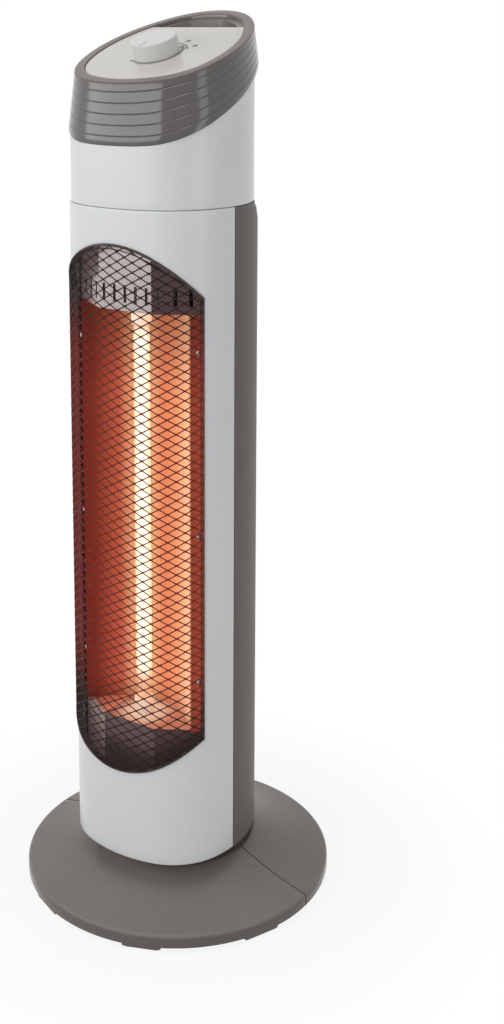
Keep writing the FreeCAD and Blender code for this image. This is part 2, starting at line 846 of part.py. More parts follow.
def build_collar():
    body = crop(prism(0, head_seam, total_height, housing_rear), shifted(bottom_line, -far), bottom_line)
    core = prism(wall, head_seam - overrun, total_height, housing_rear)
    spigot = shell(wall + spigot_fit, wall - spigot_fit, head_seam - spigot_depth, head_seam, housing_rear)
    root = shell(wall, wall, head_seam, head_seam + spigot_reach, housing_rear)
    save("top_housing", fuse(body.cut(core), root, spigot))

    skin = crop(drafted(0), bottom_line, top_line)
    floor_line = shifted(bottom_line, collar_floor)
    ring = skin.cut(crop(drafted(collar_wall), floor_line, shifted(top_line, -rim_thickness)))
    ring = ring.cut(head_prism(rim_band))
    throat = prism(2 * wall + overrun, head_seam, head_top, housing_rear)
    ring = ring.cut(crop(throat, shifted(bottom_line, -overrun), shifted(floor_line, overrun)))
    shave = skin.cut(crop(drafted(groove_depth), shifted(bottom_line, -overrun), shifted(top_line, overrun)))
    front_height = top_line(column_front) - bottom_line(column_front)
    for k in range(groove_count):
        f = 1 - (groove_first + groove_pitch * k) / front_height
        line = lambda y, f=f: bottom_line(y) + f * (top_line(y) - bottom_line(y))
        ring = ring.cut(crop(shave, shifted(line, -groove_width / 2), shifted(line, groove_width / 2)))
    save("collar", ring)


def build_panel():
    under = shifted(top_line, -rim_thickness)
    low = shifted(under, -panel_flange)
    face = crop(head_prism(rim_band + panel_fit), under, shifted(top_line, -panel_sink))
    plate = fuse(face, crop(head_prism(rim_band - panel_ledge), low, under)).common(before(panel_rear))
    tilt = math.atan(collar_top_slope)
    spot = vec(0, knob_place, top_line(knob_place) - panel_sink)
    place = FreeCAD.Placement(spot, FreeCAD.Rotation(vec(1, 0, 0), math.degrees(tilt)))

    def placed(shape):
        shape.Placement = place
        return shape

    plate_under = -(rim_thickness + panel_flange - panel_sink) * math.cos(tilt)
    switch_low = plate_under - dial_switch_depth
    well = switch_low + dial_switch_floor
    save("control_panel", plate.cut(placed(rod(shaft_radius + shaft_slack, 0, 0, switch_low, knob_radius))))

    half = dial_switch_size / 2
    case = block(-half, half, -half, half, switch_low, plate_under)
    save("rotary_switch", placed(case.cut(rod(shaft_radius + running_gap, 0, 0, well, plate_under))))

    knob_top = knob_gap + knob_height
    disc = rod(knob_radius, 0, 0, knob_gap, knob_top)
    disc = disc.makeFillet(knob_round, edges_at(disc, knob_top))
    groove = block(-pointer_width / 2, pointer_width / 2, -knob_radius, -pointer_start,
                   knob_top - pointer_depth, knob_top)
    seat = knob_top - knob_roof
    save("knob", placed(disc.cut(groove).cut(rod(shaft_radius, 0, 0, 0, seat))))
    save("knob_shaft", placed(rod(shaft_radius, 0, 0, well + overrun, seat)))

    back = panel_rear + panel_fit
    deep = shifted(bottom_line, collar_floor + overrun)
    tray = crop(head_prism(rim_band - cup_ledge), low, under).common(behind(back))
    cup = crop(head_prism(rim_band + cup_inset), deep, under).common(behind(back))
    hollow = crop(head_prism(rim_band + cup_inset + wall), shifted(deep, wall), shifted(under, overrun))
    save("handle_cup", fuse(tray, cup).cut(hollow.common(behind(back + wall))))


def edges_at(shape, z):
    return [e for e in shape.Edges if abs(e.CenterOfMass.z - z) < running_gap]


def build():
    os.makedirs("parts", exist_ok=True)
    build_base()
    build_drive()
    build_tip_switch()
    build_column()
    build_guard()
    build_trough()
    build_shields()
    build_element()
    build_collar()
    build_panel()


build()
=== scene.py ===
import json
import math

import bmesh
import bpy
import numpy as np
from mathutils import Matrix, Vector


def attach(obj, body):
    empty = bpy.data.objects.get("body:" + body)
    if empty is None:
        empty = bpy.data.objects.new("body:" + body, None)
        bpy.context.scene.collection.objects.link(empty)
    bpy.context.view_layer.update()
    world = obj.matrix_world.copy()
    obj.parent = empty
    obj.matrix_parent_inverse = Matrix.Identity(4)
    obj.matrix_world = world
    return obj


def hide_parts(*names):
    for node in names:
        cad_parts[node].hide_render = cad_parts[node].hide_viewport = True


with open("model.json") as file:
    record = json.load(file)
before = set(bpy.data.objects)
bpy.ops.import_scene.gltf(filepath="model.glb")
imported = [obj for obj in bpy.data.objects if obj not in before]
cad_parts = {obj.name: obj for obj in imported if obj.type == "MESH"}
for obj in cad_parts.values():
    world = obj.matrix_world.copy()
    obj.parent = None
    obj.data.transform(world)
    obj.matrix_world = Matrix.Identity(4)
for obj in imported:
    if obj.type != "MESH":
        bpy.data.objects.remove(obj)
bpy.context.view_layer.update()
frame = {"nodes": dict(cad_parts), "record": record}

scene = bpy.context.scene
scene.view_settings.view_transform = "Standard"
mm, weld, tiny = 0.001, 1e-6, 1e-9
print("stage: frame loaded,", len(frame["nodes"]), "nodes")


# outline of the column in millimetres, front towards -Y
column = dict(halfWidth=67.0, front=-78.4, rear=63.0, widest=-16.0, frontRadius=102.5, cornerRadius=50.0,
              rearRadius=57.0, bottom=45.0, top=539.6, wall=2.4, split=-20.2, samples=4000)


def planArcs(rear):
    # half outline as rows of centre, radius and start and end angle: the side arc passes through the widest
    # point and meets the rear arc, and the corner arc joins it to the front arc
    c = column
    drop = rear - c["rearRadius"] - c["widest"]
    side = (c["halfWidth"] ** 2 + drop ** 2 - c["rearRadius"] ** 2) / (2 * (c["halfWidth"] - c["rearRadius"]))
    frontAt = np.array([0, c["front"] + c["frontRadius"]])
    rearAt = np.array([0, rear - c["rearRadius"]])
    sideAt = np.array([c["halfWidth"] - side, c["widest"]])
    reach = sideAt - frontAt
    length = np.hypot(*reach)
    a = c["frontRadius"] - c["cornerRadius"]
    b = side - c["cornerRadius"]
    along = (a * a - b * b + length * length) / (2 * length)
    line = reach / length
    cornerAt = frontAt + line * along + np.array([-line[1], line[0]]) * math.sqrt(a * a - along * along)

    def turn(p, q):
        return math.atan2(q[1] - p[1], q[0] - p[0])
    frontEnd, cornerEnd, sideEnd = turn(frontAt, cornerAt), turn(sideAt, cornerAt), turn(sideAt, rearAt)
    return np.array([[*frontAt, c["frontRadius"], -math.pi / 2, frontEnd],
                     [*cornerAt, c["cornerRadius"], frontEnd, cornerEnd],
                     [*sideAt, side, cornerEnd, sideEnd],
                     [*rearAt, c["rearRadius"], sideEnd, math.pi / 2]])


def planStarts(arcs):
    # distance along the outline where each arc starts and the last one ends
    return np.concatenate([[0.0], np.cumsum(arcs[:, 2] * (arcs[:, 4] - arcs[:, 3]))])


def planLine(s, inset=0.0, rear=column["rear"]):
    # point that lies s along the outline from the middle of its front, right side positive, moved in by inset
    arcs = planArcs(rear)
    starts = planStarts(arcs)
    t = np.minimum(np.abs(s), starts[-1])
    k = np.clip(np.searchsorted(starts, t, side="right") - 1, 0, len(arcs) - 1)
    turn = arcs[k, 3] + (t - starts[k]) / arcs[k, 2]
    out = arcs[k, 2] - inset
    x = arcs[k, 0] + out * np.cos(turn)
    return np.where(np.asarray(s) < 0, -x, x), arcs[k, 1] + out * np.sin(turn)


def planLength(rear):
    return planStarts(planArcs(rear))[-1]


sTable = np.linspace(0, planLength(column["rear"]), column["samples"])
xTable, yTable = planLine(sTable)
widestAt = int(np.argmax(xTable))


def alongFromX(x):
    # distance along the front half of the outline for a given distance from the middle plane
    return np.sign(x) * np.interp(np.abs(x), xTable[:widestAt], sTable[:widestAt])


def quarterTurn(steps=5):
    # angles of a quarter turn, for rounded edges
    return np.linspace(0, math.pi / 2, steps)


def gridFaces(rows, cols, wrapRows=False):
    # quads between the rows of a grid whose columns close on themselves, and its rows too where asked
    i = np.arange(rows if wrapRows else rows - 1)[:, None]
    j = np.arange(cols)[None, :]
    i2 = (i + 1) % rows
    j2 = (j + 1) % cols
    return np.stack([i * cols + j, i * cols + j2, i2 * cols + j2, i2 * cols + j], -1).reshape(-1, 4)


def makePiece(name, parts, nodes, body, crease=35):
    # parts are pairs of a point array in millimetres and a list of face arrays into it
    points, faces, offset = [], [], 0
    for place, faceSets in parts:
        flat = np.asarray(place, float).reshape(-1, 3)
        points.append(flat * mm)
        for quads in faceSets:
            faces += (np.asarray(quads) + offset).tolist()
        offset += len(flat)
    mesh = bpy.data.meshes.new(name)
    mesh.from_pydata(np.concatenate(points).tolist(), [], faces)
    work = bmesh.new()
    work.from_mesh(mesh)
    bmesh.ops.remove_doubles(work, verts=work.verts, dist=weld)
    bmesh.ops.recalc_face_normals(work, faces=work.faces)
    work.to_mesh(mesh)
    work.free()
    mesh.shade_smooth()
    mesh.set_sharp_from_angle(angle=math.radians(crease))
    piece = bpy.data.objects.new(name, mesh)
    scene.collection.objects.link(piece)
    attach(piece, body)
    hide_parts(*nodes)
    print("piece:", name, len(mesh.polygons), "faces")
    return piece


# window cut in the front panel, an arch above and a bow below
window = dict(half=60.0, top=514.3, topRise=36.6, bottom=114.3, bottomSag=30.2, archSteps=56, sideSteps=64)


def windowLoop():
    # closed loop in distance along the outline and height: top arch, left edge, bottom bow, right edge
    w = window
    rTop = (w["half"] ** 2 + w["topRise"] ** 2) / (2 * w["topRise"])
    rLow = (w["half"] ** 2 + w["bottomSag"] ** 2) / (2 * w["bottomSag"])
    spread = math.asin(w["half"] / rTop)
    top = np.linspace(spread, -spread, w["archSteps"], endpoint=False)
    topHigh = w["top"] - rTop + rTop * np.cos(top)
    spread = math.asin(w["half"] / rLow)
    low = np.linspace(-spread, spread, w["archSteps"], endpoint=False)
    lowHigh = w["bottom"] + rLow - rLow * np.cos(low)
    down = np.linspace(topHigh[0], lowHigh[0], w["sideSteps"], endpoint=False)
    x = np.concatenate([rTop * np.sin(top), np.full(len(down), -w["half"]), rLow * np.sin(low),
                        np.full(len(down), w["half"])])
    up = lowHigh[0] + topHigh[0] - down
    return np.stack([alongFromX(x), np.concatenate([topHigh, down, lowHigh, up])], -1)


def offsetLoop(loop, grow):
    # moves a closed loop outwards along its own normals
    run = np.roll(loop, -1, 0) - np.roll(loop, 1, 0)
    run /= np.linalg.norm(run, axis=1)[:, None]
    side = np.stack([run[:, 1], -run[:, 0]], -1)
    return loop + side * grow


def frameLoop(half, low, high):
    # rectangle in the same order and with the same counts as the window's loop
    w = window
    across = np.linspace(half, -half, w["archSteps"], endpoint=False)
    down = np.linspace(high, low, w["sideSteps"], endpoint=False)
    return np.stack([np.concatenate([across, np.full(len(down), -half), -across, np.full(len(down), half)]),
                     np.concatenate([np.full(len(across), high), down, np.full(len(across), low),
                                     low + high - down])], -1)


def onColumn(loop, inset):
    # a loop in distance and height laid on the column's surface
    x, y = planLine(loop[..., 0], inset)
    return np.stack([x, y, loop[..., 1]], -1)


panel = dict(lipRound=1.1, edgeRound=0.6, rings=16, backRings=8)


def buildFrontPanel():
    # one closed skin: rounded lip of the window, outer face in rings out to the rounded border, inner face back
    p, c = panel, column
    half = np.interp(c["split"], yTable, sTable)
    lip, edge = p["lipRound"], p["edgeRound"]
    inner = windowLoop()

    def border(shrink):
        return frameLoop(half - shrink, c["bottom"] + shrink, c["top"] - shrink)
    rows = [onColumn(offsetLoop(inner, lip * (1 - math.cos(a))), lip * (1 - math.sin(a))) for a in quarterTurn()]
    near, far = offsetLoop(inner, lip), border(edge)
    rows += [onColumn(near + (far - near) * t, 0.0) for t in np.linspace(0, 1, p["rings"])[1:-1]]
    rows += [onColumn(border(edge * (1 - math.sin(a))), edge * (1 - math.cos(a))) for a in quarterTurn()]
    far = border(0)
    rows += [onColumn(inner + (far - inner) * t, c["wall"]) for t in np.linspace(1, 0, p["backRings"])]
    rows = np.array(rows)
    return makePiece("frontPanel", [(rows, [gridFaces(len(rows), rows.shape[1], True)])], ["front_panel"],
                     "column")


# guard: an edge wire with a second wire inside it and a return into the column, sections as offsets from the window
guard = dict(proud=1.6, sheet=0.95, depth=3.85, edge=(-1.2, -0.25), edgeDeep=0.2, edgeRound=0.4, inner=(-3.3, -2.7),
             innerRound=0.3, back=(-0.75, -0.1), backRound=0.25, lap=0.4, flange=(-0.15, 0.55), flangeGap=0.1,
             flangeRound=0.3, sectionSteps=16)
# its slanted strands, in two families
strands = dict(wide=12.4, high=7.0, half=0.42, thick=0.34, knot=0.48, knotLong=1.1, layer=0.1, reach=-0.8,
               lines=(-14, 80), shortest=8, samples=900, steps=84, sides=6, crease=50)
strandSlope = strands["high"] / strands["wide"]


def sweptSection(x0, x1, y0, y1, radius):
    # a rounded rectangle in offset and inset, carried round the window on the column
    turns = np.linspace(0, 2 * math.pi, guard["sectionSteps"], endpoint=False) + math.pi / guard["sectionSteps"]
    offsets = np.where(np.cos(turns) > 0, x1 - radius, x0 + radius) + radius * np.cos(turns)
    insets = np.where(np.sin(turns) > 0, y1 - radius, y0 + radius) + radius * np.sin(turns)
    loop = windowLoop()
    rows = np.array([onColumn(offsetLoop(loop, o), i) for o, i in zip(offsets, insets)])
    return rows, [gridFaces(len(rows), rows.shape[1], True)]


def buildRim():
    g = guard
    edge = sweptSection(*g["edge"], -g["proud"], g["edgeDeep"], g["edgeRound"])
    back = sweptSection(*g["back"], g["edgeDeep"] - g["lap"], g["depth"], g["backRound"])
    flange = sweptSection(*g["flange"], column["wall"] + g["flangeGap"], g["depth"], g["flangeRound"])
    return (makePiece("guardRim", [edge], ["guard_rim"], "column"),
            makePiece("guardReturn", [back, flange], ["guard_rim"], "column"))


def strandEnds():
    # a strand is a straight line in distance along the outline and height: where each one inside the window
    # starts and ends, its height at the middle and the sign of its slope
    d, w = strands, window
    inside = offsetLoop(windowLoop(), d["reach"])
    s = np.linspace(inside[:, 0].min(), inside[:, 0].max(), d["samples"])
    arch = inside[w["archSteps"]::-1]
    bow = inside[w["archSteps"] + w["sideSteps"]:][:w["archSteps"] + 1]
    high = np.interp(s, arch[:, 0], arch[:, 1])
    low = np.interp(s, bow[:, 0], bow[:, 1])
    found = []
    for sign in (1, -1):
        for k in range(*d["lines"]):
            middle = w["bottom"] + k * d["high"]
            z = middle + sign * strandSlope * s
            hit = np.nonzero((z > low) & (z < high))[0]
            if len(hit) > d["shortest"]:
                found.append((s[hit[0]], s[hit[-1]], middle, sign))
    return np.array(found).T[..., None]


def buildMesh():
    d, g = strands, guard
    starts, ends, middles, signs = strandEnds()
    line = starts + (ends - starts) * np.linspace(0, 1, d["steps"])
    height = middles + signs * strandSlope * line
    # strands swell where they cross, which is at every half diamond along the outline
    half = d["wide"] / 2
    gap = np.abs(line / half - np.round(line / half)) * half
    swell = 1 + d["knot"] * np.exp(-(gap / d["knotLong"]) ** 2)
    turns = np.linspace(0, 2 * math.pi, d["sides"], endpoint=False)
    length = math.hypot(1, strandSlope)
    wide = d["half"] * swell[..., None] * np.cos(turns)
    signs = signs[..., None]
    level = -g["proud"] + g["sheet"] / 2 + d["layer"] * signs
    along = line[..., None] - wide * signs * strandSlope / length
    x, y = planLine(along, level + d["thick"] * np.sin(turns))
    points = np.stack([x, y, height[..., None] + wide / length], -1)
    count, steps, sides = wide.shape
    first = np.arange(count)[:, None] * steps * sides
    tubes = (first[..., None] + gridFaces(steps, sides)).reshape(-1, 4)
    firstRing = first + np.arange(sides)
    lastRing = firstRing + (steps - 1) * sides
    inner = sweptSection(*g["inner"], -g["proud"], -g["proud"] + g["sheet"], g["innerRound"])
    return makePiece("guardMesh", [(points, [tubes, firstRing, lastRing]), inner], ["guard_mesh"], "column",
                     d["crease"])


# head: white housing, grey grooved collar, sloping panel and dial
head = dict(seam=540.0, housingRear=52.0, spigotLow=530.0, spigotHigh=544.0, edgeRound=0.7, steps=200, sideRows=8,
            backRows=4)
collar = dict(topSlope=0.3825, height=678.0, rise=582.8, bottomSlope=0.545, bendAt=-74.0, bend=6.0, shift=1.5,
              inset=4.0, draft=0.12, wall=2.6, floor=2.5, rimBand=11.5, rimThick=3.0, rimRows=5, grooves=5,
              grooveFirst=5.8, groovePitch=7.25, grooveWide=1.1, grooveDeep=0.4, grooveRows=9, beside=(1.15, 1.35),
              bandRow=2.0, round=0.9, edge=0.5, edgeCut=0.15, tuck=1.0, settle=4)


def topLine(y):
    # the sloping top plane, which climbs to the rear
    c = collar
    return c["height"] + c["topSlope"] * (y - column["rear"] - c["shift"] + c["inset"])


def bottomLine(y):
    # level across the front, bending into a straight climb to the rear
    c = collar
    run = y - c["bendAt"]
    return c["rise"] + c["bottomSlope"] * (run + np.sqrt(run * run + c["bend"] ** 2)) / 2


def aroundPlan(rear):
    return np.linspace(-1, 1, head["steps"], endpoint=False) * planLength(rear)


def buildHousing():
    # a ring with the column's outline and a nearer back, cut off by the collar's sloping lower line
    h, wall, soft = head, column["wall"], head["edgeRound"]
    s = aroundPlan(h["housingRear"])

    def row(inset, low, share=0.0):
        # one line round the housing, share of the way from a height up to the collar
        x, y = planLine(s, inset, h["housingRear"])
        return np.stack([x, y, low + (bottomLine(y) - low) * share], -1)
    rows = [row(soft * (1 - math.sin(a)), h["seam"] + soft * (1 - math.cos(a))) for a in quarterTurn()]
    rows += [row(0.0, h["seam"] + soft, share) for share in np.linspace(0, 1, h["sideRows"])[1:]]
    rows += [row(wall, h["seam"], share) for share in np.linspace(1, 0, h["backRows"])]
    section = ((1, "spigotLow"), (1, "spigotHigh"), (2, "spigotHigh"), (2, "spigotLow"))
    spigot = [row(wall * k, h[level]) for k, level in section]
    return makePiece("topHousing", [(rows, [gridFaces(len(rows), len(s), True)]),
                                    (spigot, [gridFaces(len(spigot), len(s), True)])],
                     ["top_housing"], "column")


def collarRow(share, lift, depth, mix=0.0):
    # one line round the collar: share of the way from its lower to its upper line plus lift; the outline grows
    # with the drop below the top plane and moves in by depth; mix blends towards the housing's outline
    c = collar
    s = aroundPlan(column["rear"])
    inset = np.full(len(s), c["inset"])
    for _ in range(c["settle"]):
        x, y = planLine(s, inset + depth)
        y = y + c["shift"]
        z = bottomLine(y) + share * (topLine(y) - bottomLine(y)) + lift
        inset = c["inset"] - c["draft"] * np.maximum(topLine(y) - z, 0)
    if mix:
        hx, hy = planLine(aroundPlan(head["housingRear"]), 2 * column["wall"] + c["tuck"], head["housingRear"])
        x, y = x + (hx - x) * mix, y + (hy - y) * mix
        z = bottomLine(y) + lift
    return np.stack([x, y, z], -1)


def buildCollar():
    c = collar
    edge, cut, soft, wall, floor = c["edge"], c["edgeCut"], c["round"], c["wall"], c["floor"]
    fullHeight = topLine(column["front"]) - bottomLine(column["front"])
    drops = c["grooveFirst"] + c["groovePitch"] * np.arange(c["grooves"])[::-1]
    # each groove is a hollow with a cosine section, and rows just outside it keep the band beside it straight
    beside = np.array(c["beside"])
    across = np.concatenate([-beside[::-1], np.linspace(-1, 1, c["grooveRows"]), beside])
    hollow = c["grooveDeep"] * (1 + np.cos(math.pi * np.clip(across, -1, 1))) / 2
    # rows of share, lift, depth and mix: lower edge, grooved side, rounded top, sloping rim and inside
    spec = [(0, 0, edge), (0, cut, cut), (0, edge, 0)]
    for share in 1 - drops / fullHeight:
        spec += [(share, lift, depth) for lift, depth in zip(across * c["grooveWide"] / 2, hollow)]
        spec.append((share, c["bandRow"], 0))
    spec += [(1, -soft * (1 - math.sin(a)), soft * (1 - math.cos(a))) for a in quarterTurn()]
    band = c["rimBand"] - c["inset"]
    spec += [(1, 0, depth) for depth in np.linspace(soft, band - edge, c["rimRows"])[1:]]
    spec += [(1, -cut, band - cut), (1, -edge, band), (1, -c["rimThick"], band), (1, -c["rimThick"], wall),
             (0, floor, wall), (0, floor, wall, 1.0), (0, 0, edge, 1.0), (0, 0, edge, 0.5)]
    rows = np.array([collarRow(*row) for row in spec])
    return makePiece("collarRing", [(rows, [gridFaces(len(rows), rows.shape[1], True)])], ["collar"], "column")


plate = dict(fit=11.8, rear=28.4, sink=0.6, thick=3.0, round=0.45, steps=150, rearSteps=40, rings=(0.8, 0.55, 0.3, 0))
knobSizes = dict(place=-22.0, radius=17.0, skirt=0.2, foot=0.4, top=13.0, round=1.2, roundSteps=7, topRings=14,
                 pointerWide=0.6, pointerDeep=0.7, pointerStart=6.0, pointerEdge=0.25, pointerSoft=0.3,
                 pointerRamp=0.5, pointerRound=0.9, fineTurn=12, fineSteps=48, turnSteps=140)
tilt = math.atan(collar["topSlope"])


def plateLoop(shrink):
    # the collar's outline moved in, cut off straight at the finger recess
    p = plate
    rear = p["rear"] - shrink
    behind = planLine(sTable[widestAt:], p["fit"] + shrink)[1] + collar["shift"]
    reach = np.interp(rear, behind, sTable[widestAt:])
    x, y = planLine(np.linspace(-reach, reach, p["steps"]), p["fit"] + shrink)
    straight = np.linspace(x[-1], x[0], p["rearSteps"] + 2)[1:-1]
    return np.stack([np.concatenate([x, straight]),
                     np.concatenate([y + collar["shift"], np.full(len(straight), rear)])], -1)


def buildPanel():
    # flat sloping plate with a rounded edge, closed by rings that shrink to its middle
    p, soft = plate, plate["round"]
    spec = [(0, -p["thick"], 0), (0, -p["thick"], 1)]
    spec += [(soft * (1 - math.cos(a)), -p["sink"] - soft * (1 - math.sin(a)), 1) for a in quarterTurn()]
    spec += [(soft, -p["sink"], keep) for keep in p["rings"]]
    middle = np.array([0.0, knobSizes["place"]])
    rows = []
    for shrink, lift, keep in spec:
        loop = middle + (plateLoop(shrink) - middle) * keep
        rows.append(np.stack([loop[:, 0], loop[:, 1], topLine(loop[:, 1]) + lift], -1))
    rows = np.array(rows)
    return makePiece("controlPlate", [(rows, [gridFaces(len(rows), rows.shape[1])])], ["control_panel"], "column")


def buildKnob():
    # a turned profile; its top sinks along a narrow groove that points to the front
    k = knobSizes
    fine, body, top, soft, low = k["fineTurn"], k["radius"], k["top"], k["round"], k["skirt"]
    turns = np.concatenate([np.linspace(-fine, fine, k["fineSteps"], endpoint=False),
                            np.linspace(fine, 360 - fine, k["turnSteps"], endpoint=False)])
    turns = np.radians(turns - 90)
    arc = quarterTurn(k["roundSteps"])
    radii = np.concatenate([[0, body - k["foot"], body], body - soft * (1 - np.cos(arc)),
                            np.linspace(body - soft, 0, k["topRings"])[1:]])[:, None]
    highs = np.concatenate([[low, low, low + k["foot"]], top - soft * (1 - np.sin(arc)),
                            np.full(k["topRings"] - 1, top)])[:, None]
    x = radii * np.cos(turns)
    q = radii * np.sin(turns)
    groove = np.clip((k["pointerWide"] + k["pointerEdge"] - np.abs(x)) / k["pointerSoft"], 0, 1)
    groove = groove * np.clip((-q - k["pointerStart"]) / k["pointerRamp"], 0, 1)
    up = highs - k["pointerDeep"] * groove * (highs > top - soft * k["pointerRound"])
    y = k["place"] + q * math.cos(tilt) - up * math.sin(tilt)
    z = topLine(k["place"]) - plate["sink"] + q * math.sin(tilt) + up * math.cos(tilt)
    rows = np.stack([x, y, z], -1)
    return makePiece("knobCap", [(rows, [gridFaces(len(rows), len(turns))])], ["knob"], "dial")


# base: a hollow dish in two halves with a seam left and right, on eight feet with ribs to the hub
base = dict(radius=120.0, bottom=3.7, rim=14.0, rimWide=3.0, rimSteps=9, toe=0.6, hub=60.0, hubHigh=33.5, sag=2.0,
            dishSteps=26, wall=2.4, ledgeIn=51.0, ledgeTop=27.6, hubRound=0.8, seam=0.02, seamRound=0.6, softSteps=4,
            steps=110, crease=40, probe=0.5)
feet = dict(count=8, width=32.0, depth=14.0, out=118.8, top=12.0, low=1.2, taper=2.0, taperHigh=2.5, round=1.2,
            edge=((0, 0.6), (0.3, 0.18), (0.8, 0)), turns=24)
ribs = dict(half=1.2, low=5.7, lap=1.0, steps=12)


def dishHeight(r):
    # a straight climb from the rim to the hub that sags most half way
    b = base
    t = (b["radius"] - b["rimWide"] - r) / (b["radius"] - b["rimWide"] - b["hub"])
    return b["rim"] + t * (b["hubHigh"] - b["rim"]) - 4 * b["sag"] * t * (1 - t)


def baseProfile():
    # outer line from the skirt's toe over the rim and up the hollow dish to the hub, and the inner line under it
    b, hub, wall, rimIn = base, base["hub"], base["wall"], base["radius"] - base["rimWide"]
    outer = [(b["radius"] - b["toe"] * (1 - math.sin(a)), b["bottom"] + b["toe"] * (1 - math.cos(a)))
             for a in quarterTurn(b["softSteps"])]
    lean = math.atan((dishHeight(rimIn - b["probe"]) - dishHeight(rimIn)) / b["probe"])
    outer += [(rimIn + b["rimWide"] * math.cos(a), dishHeight(rimIn) - b["rimWide"] + b["rimWide"] * math.sin(a))
              for a in np.linspace(0, math.pi / 2 - lean, b["rimSteps"])]
    start = outer[-1]
    lift = start[1] - dishHeight(start[0])
    outer += [(r, dishHeight(r) + lift * (r - hub) / (start[0] - hub))
              for r in np.linspace(start[0], hub + b["hubRound"], b["dishSteps"])[1:]]
    top = outer[-1][1]
    outer += [(hub + b["hubRound"] * (1 - math.sin(a)), top - b["hubRound"] * (1 - math.cos(a)))
              for a in quarterTurn()[1:]]
    throat = len(outer)
    outer = np.array(outer + [(hub, b["ledgeTop"]), (b["ledgeIn"], b["ledgeTop"])])
    inner = outer.copy()
    skirt = outer[:, 0] > b["radius"] - wall
    dish = ~skirt & (outer[:, 0] > hub + wall)
    neck = ~skirt & ~dish & (np.arange(len(outer)) < throat)
    inner[skirt, 0] = b["radius"] - wall
    inner[skirt, 1] = np.minimum(outer[skirt, 1], dishHeight(rimIn) - wall)
    inner[dish, 1] -= wall
    inner[neck, 0] = hub + wall
    inner[neck, 1] = np.minimum(outer[neck, 1], dishHeight(hub + wall)) - wall
    inner[-2:] = (hub + wall, b["ledgeTop"] - wall), (b["ledgeIn"], b["ledgeTop"] - wall)
    return outer, inner


def halfShell(mirror):
    # the section carried half round, with its shown edge rounded off where the halves meet
    b = base
    outer, inner = baseProfile()
    ring = np.concatenate([outer, inner[::-1]])
    run = np.roll(ring, -1, 0) - np.roll(ring, 1, 0)
    run /= np.linalg.norm(run, axis=1)[:, None] + tiny
    inwards = np.stack([-run[:, 1], run[:, 0]], -1)
    inwards[len(outer) - 2:] = 0
    ends = []
    for a in quarterTurn(b["softSteps"])[::-1]:
        flat = ring + inwards * (b["seamRound"] * (1 - math.cos(a)))
        ends.append((flat, np.arcsin((b["seam"] + b["seamRound"] * (1 - math.sin(a))) / flat[:, 0])))
    last = ends[-1][1]
    columns = ends + [(ring, last + (math.pi - 2 * last) * t) for t in np.linspace(0, 1, b["steps"])[1:-1]]
    columns += [(flat, math.pi - angle) for flat, angle in ends[::-1]]
    rows = np.array([np.stack([flat[:, 0] * np.cos(angle), mirror * flat[:, 0] * np.sin(angle), flat[:, 1]], -1)
                     for flat, angle in columns])
    count = len(ring)
    i = np.arange(len(outer) - 1)
    cap = np.stack([i, i + 1, count - 2 - i, count - 1 - i], -1)
    return rows, [gridFaces(len(rows), count), cap, cap + (len(rows) - 1) * count]


def turned(rows, angle):
    c, s = math.cos(angle), math.sin(angle)
    return np.stack([rows[..., 0] * c - rows[..., 1] * s, rows[..., 0] * s + rows[..., 1] * c, rows[..., 2]], -1)


def footBlock():
    # loops of a rounded rectangle, narrower at its lower end, closed above and below
    f = feet
    low, high, radius = f["low"], f["top"], f["round"]
    x0, x1 = f["out"] - f["depth"], f["out"]
    middle = (x0 + x1) / 2
    turns = np.linspace(0, 2 * math.pi, f["turns"], endpoint=False) + math.pi / f["turns"]
    levels = [(low + radius * lift, 1, radius * shrink) for lift, shrink in f["edge"]]
    rows = []
    for z, keep, shrink in [(low, 0, 0), *levels, (high, 1, 0), (high, 0, 0)]:
        half = f["width"] / 2 - f["taper"] * (1 - min(1, (z - low) / f["taperHigh"])) - shrink
        x = np.where(np.cos(turns) > 0, x1 - shrink - radius, x0 + shrink + radius) + radius * np.cos(turns)
        y = np.where(np.sin(turns) > 0, half - radius, radius - half) + radius * np.sin(turns)
        rows.append(np.stack([middle + (x - middle) * keep, y * keep, np.full(len(turns), z)], -1))
    return np.array(rows), [gridFaces(len(rows), len(turns))]


def ribBar():
    # a bar from the hub to a foot, its top in the dish's wall
    b, f, half = base, feet, ribs["half"]
    r = np.linspace(b["hub"] + b["wall"] / 2, f["out"] - f["depth"] + ribs["lap"], ribs["steps"])
    low = np.full(len(r), ribs["low"])
    high = dishHeight(r) - b["wall"] / 2
    bar = np.stack([np.stack([r, np.full(len(r), side), z], -1)
                    for side, z in ((-half, low), (-half, high), (half, high), (half, low))], 1)
    end = np.arange(4)[None, :]
    return bar, [gridFaces(len(r), 4), end, end + 4 * (len(r) - 1)]


def buildBase(name, node, mirror):
    parts = [halfShell(mirror)]
    for k in range(feet["count"]):
        turn = (k + 0.5) * 2 * math.pi / feet["count"]
        if math.sin(turn) * mirror > 0:
            parts += [(turned(rows, turn), faces) for rows, faces in (footBlock(), ribBar())]
    return makePiece(name, parts, [node], "base", base["crease"])


frontPanel = buildFrontPanel()
guardRim, guardReturn = buildRim()
guardMesh = buildMesh()
topHousing = buildHousing()
collarRing = buildCollar()
controlPlate = buildPanel()
knobCap = buildKnob()
baseFront = buildBase("baseFront", "base_front_half", -1)
baseRear = buildBase("baseRear", "base_rear_half", 1)
print("stage: pieces built")


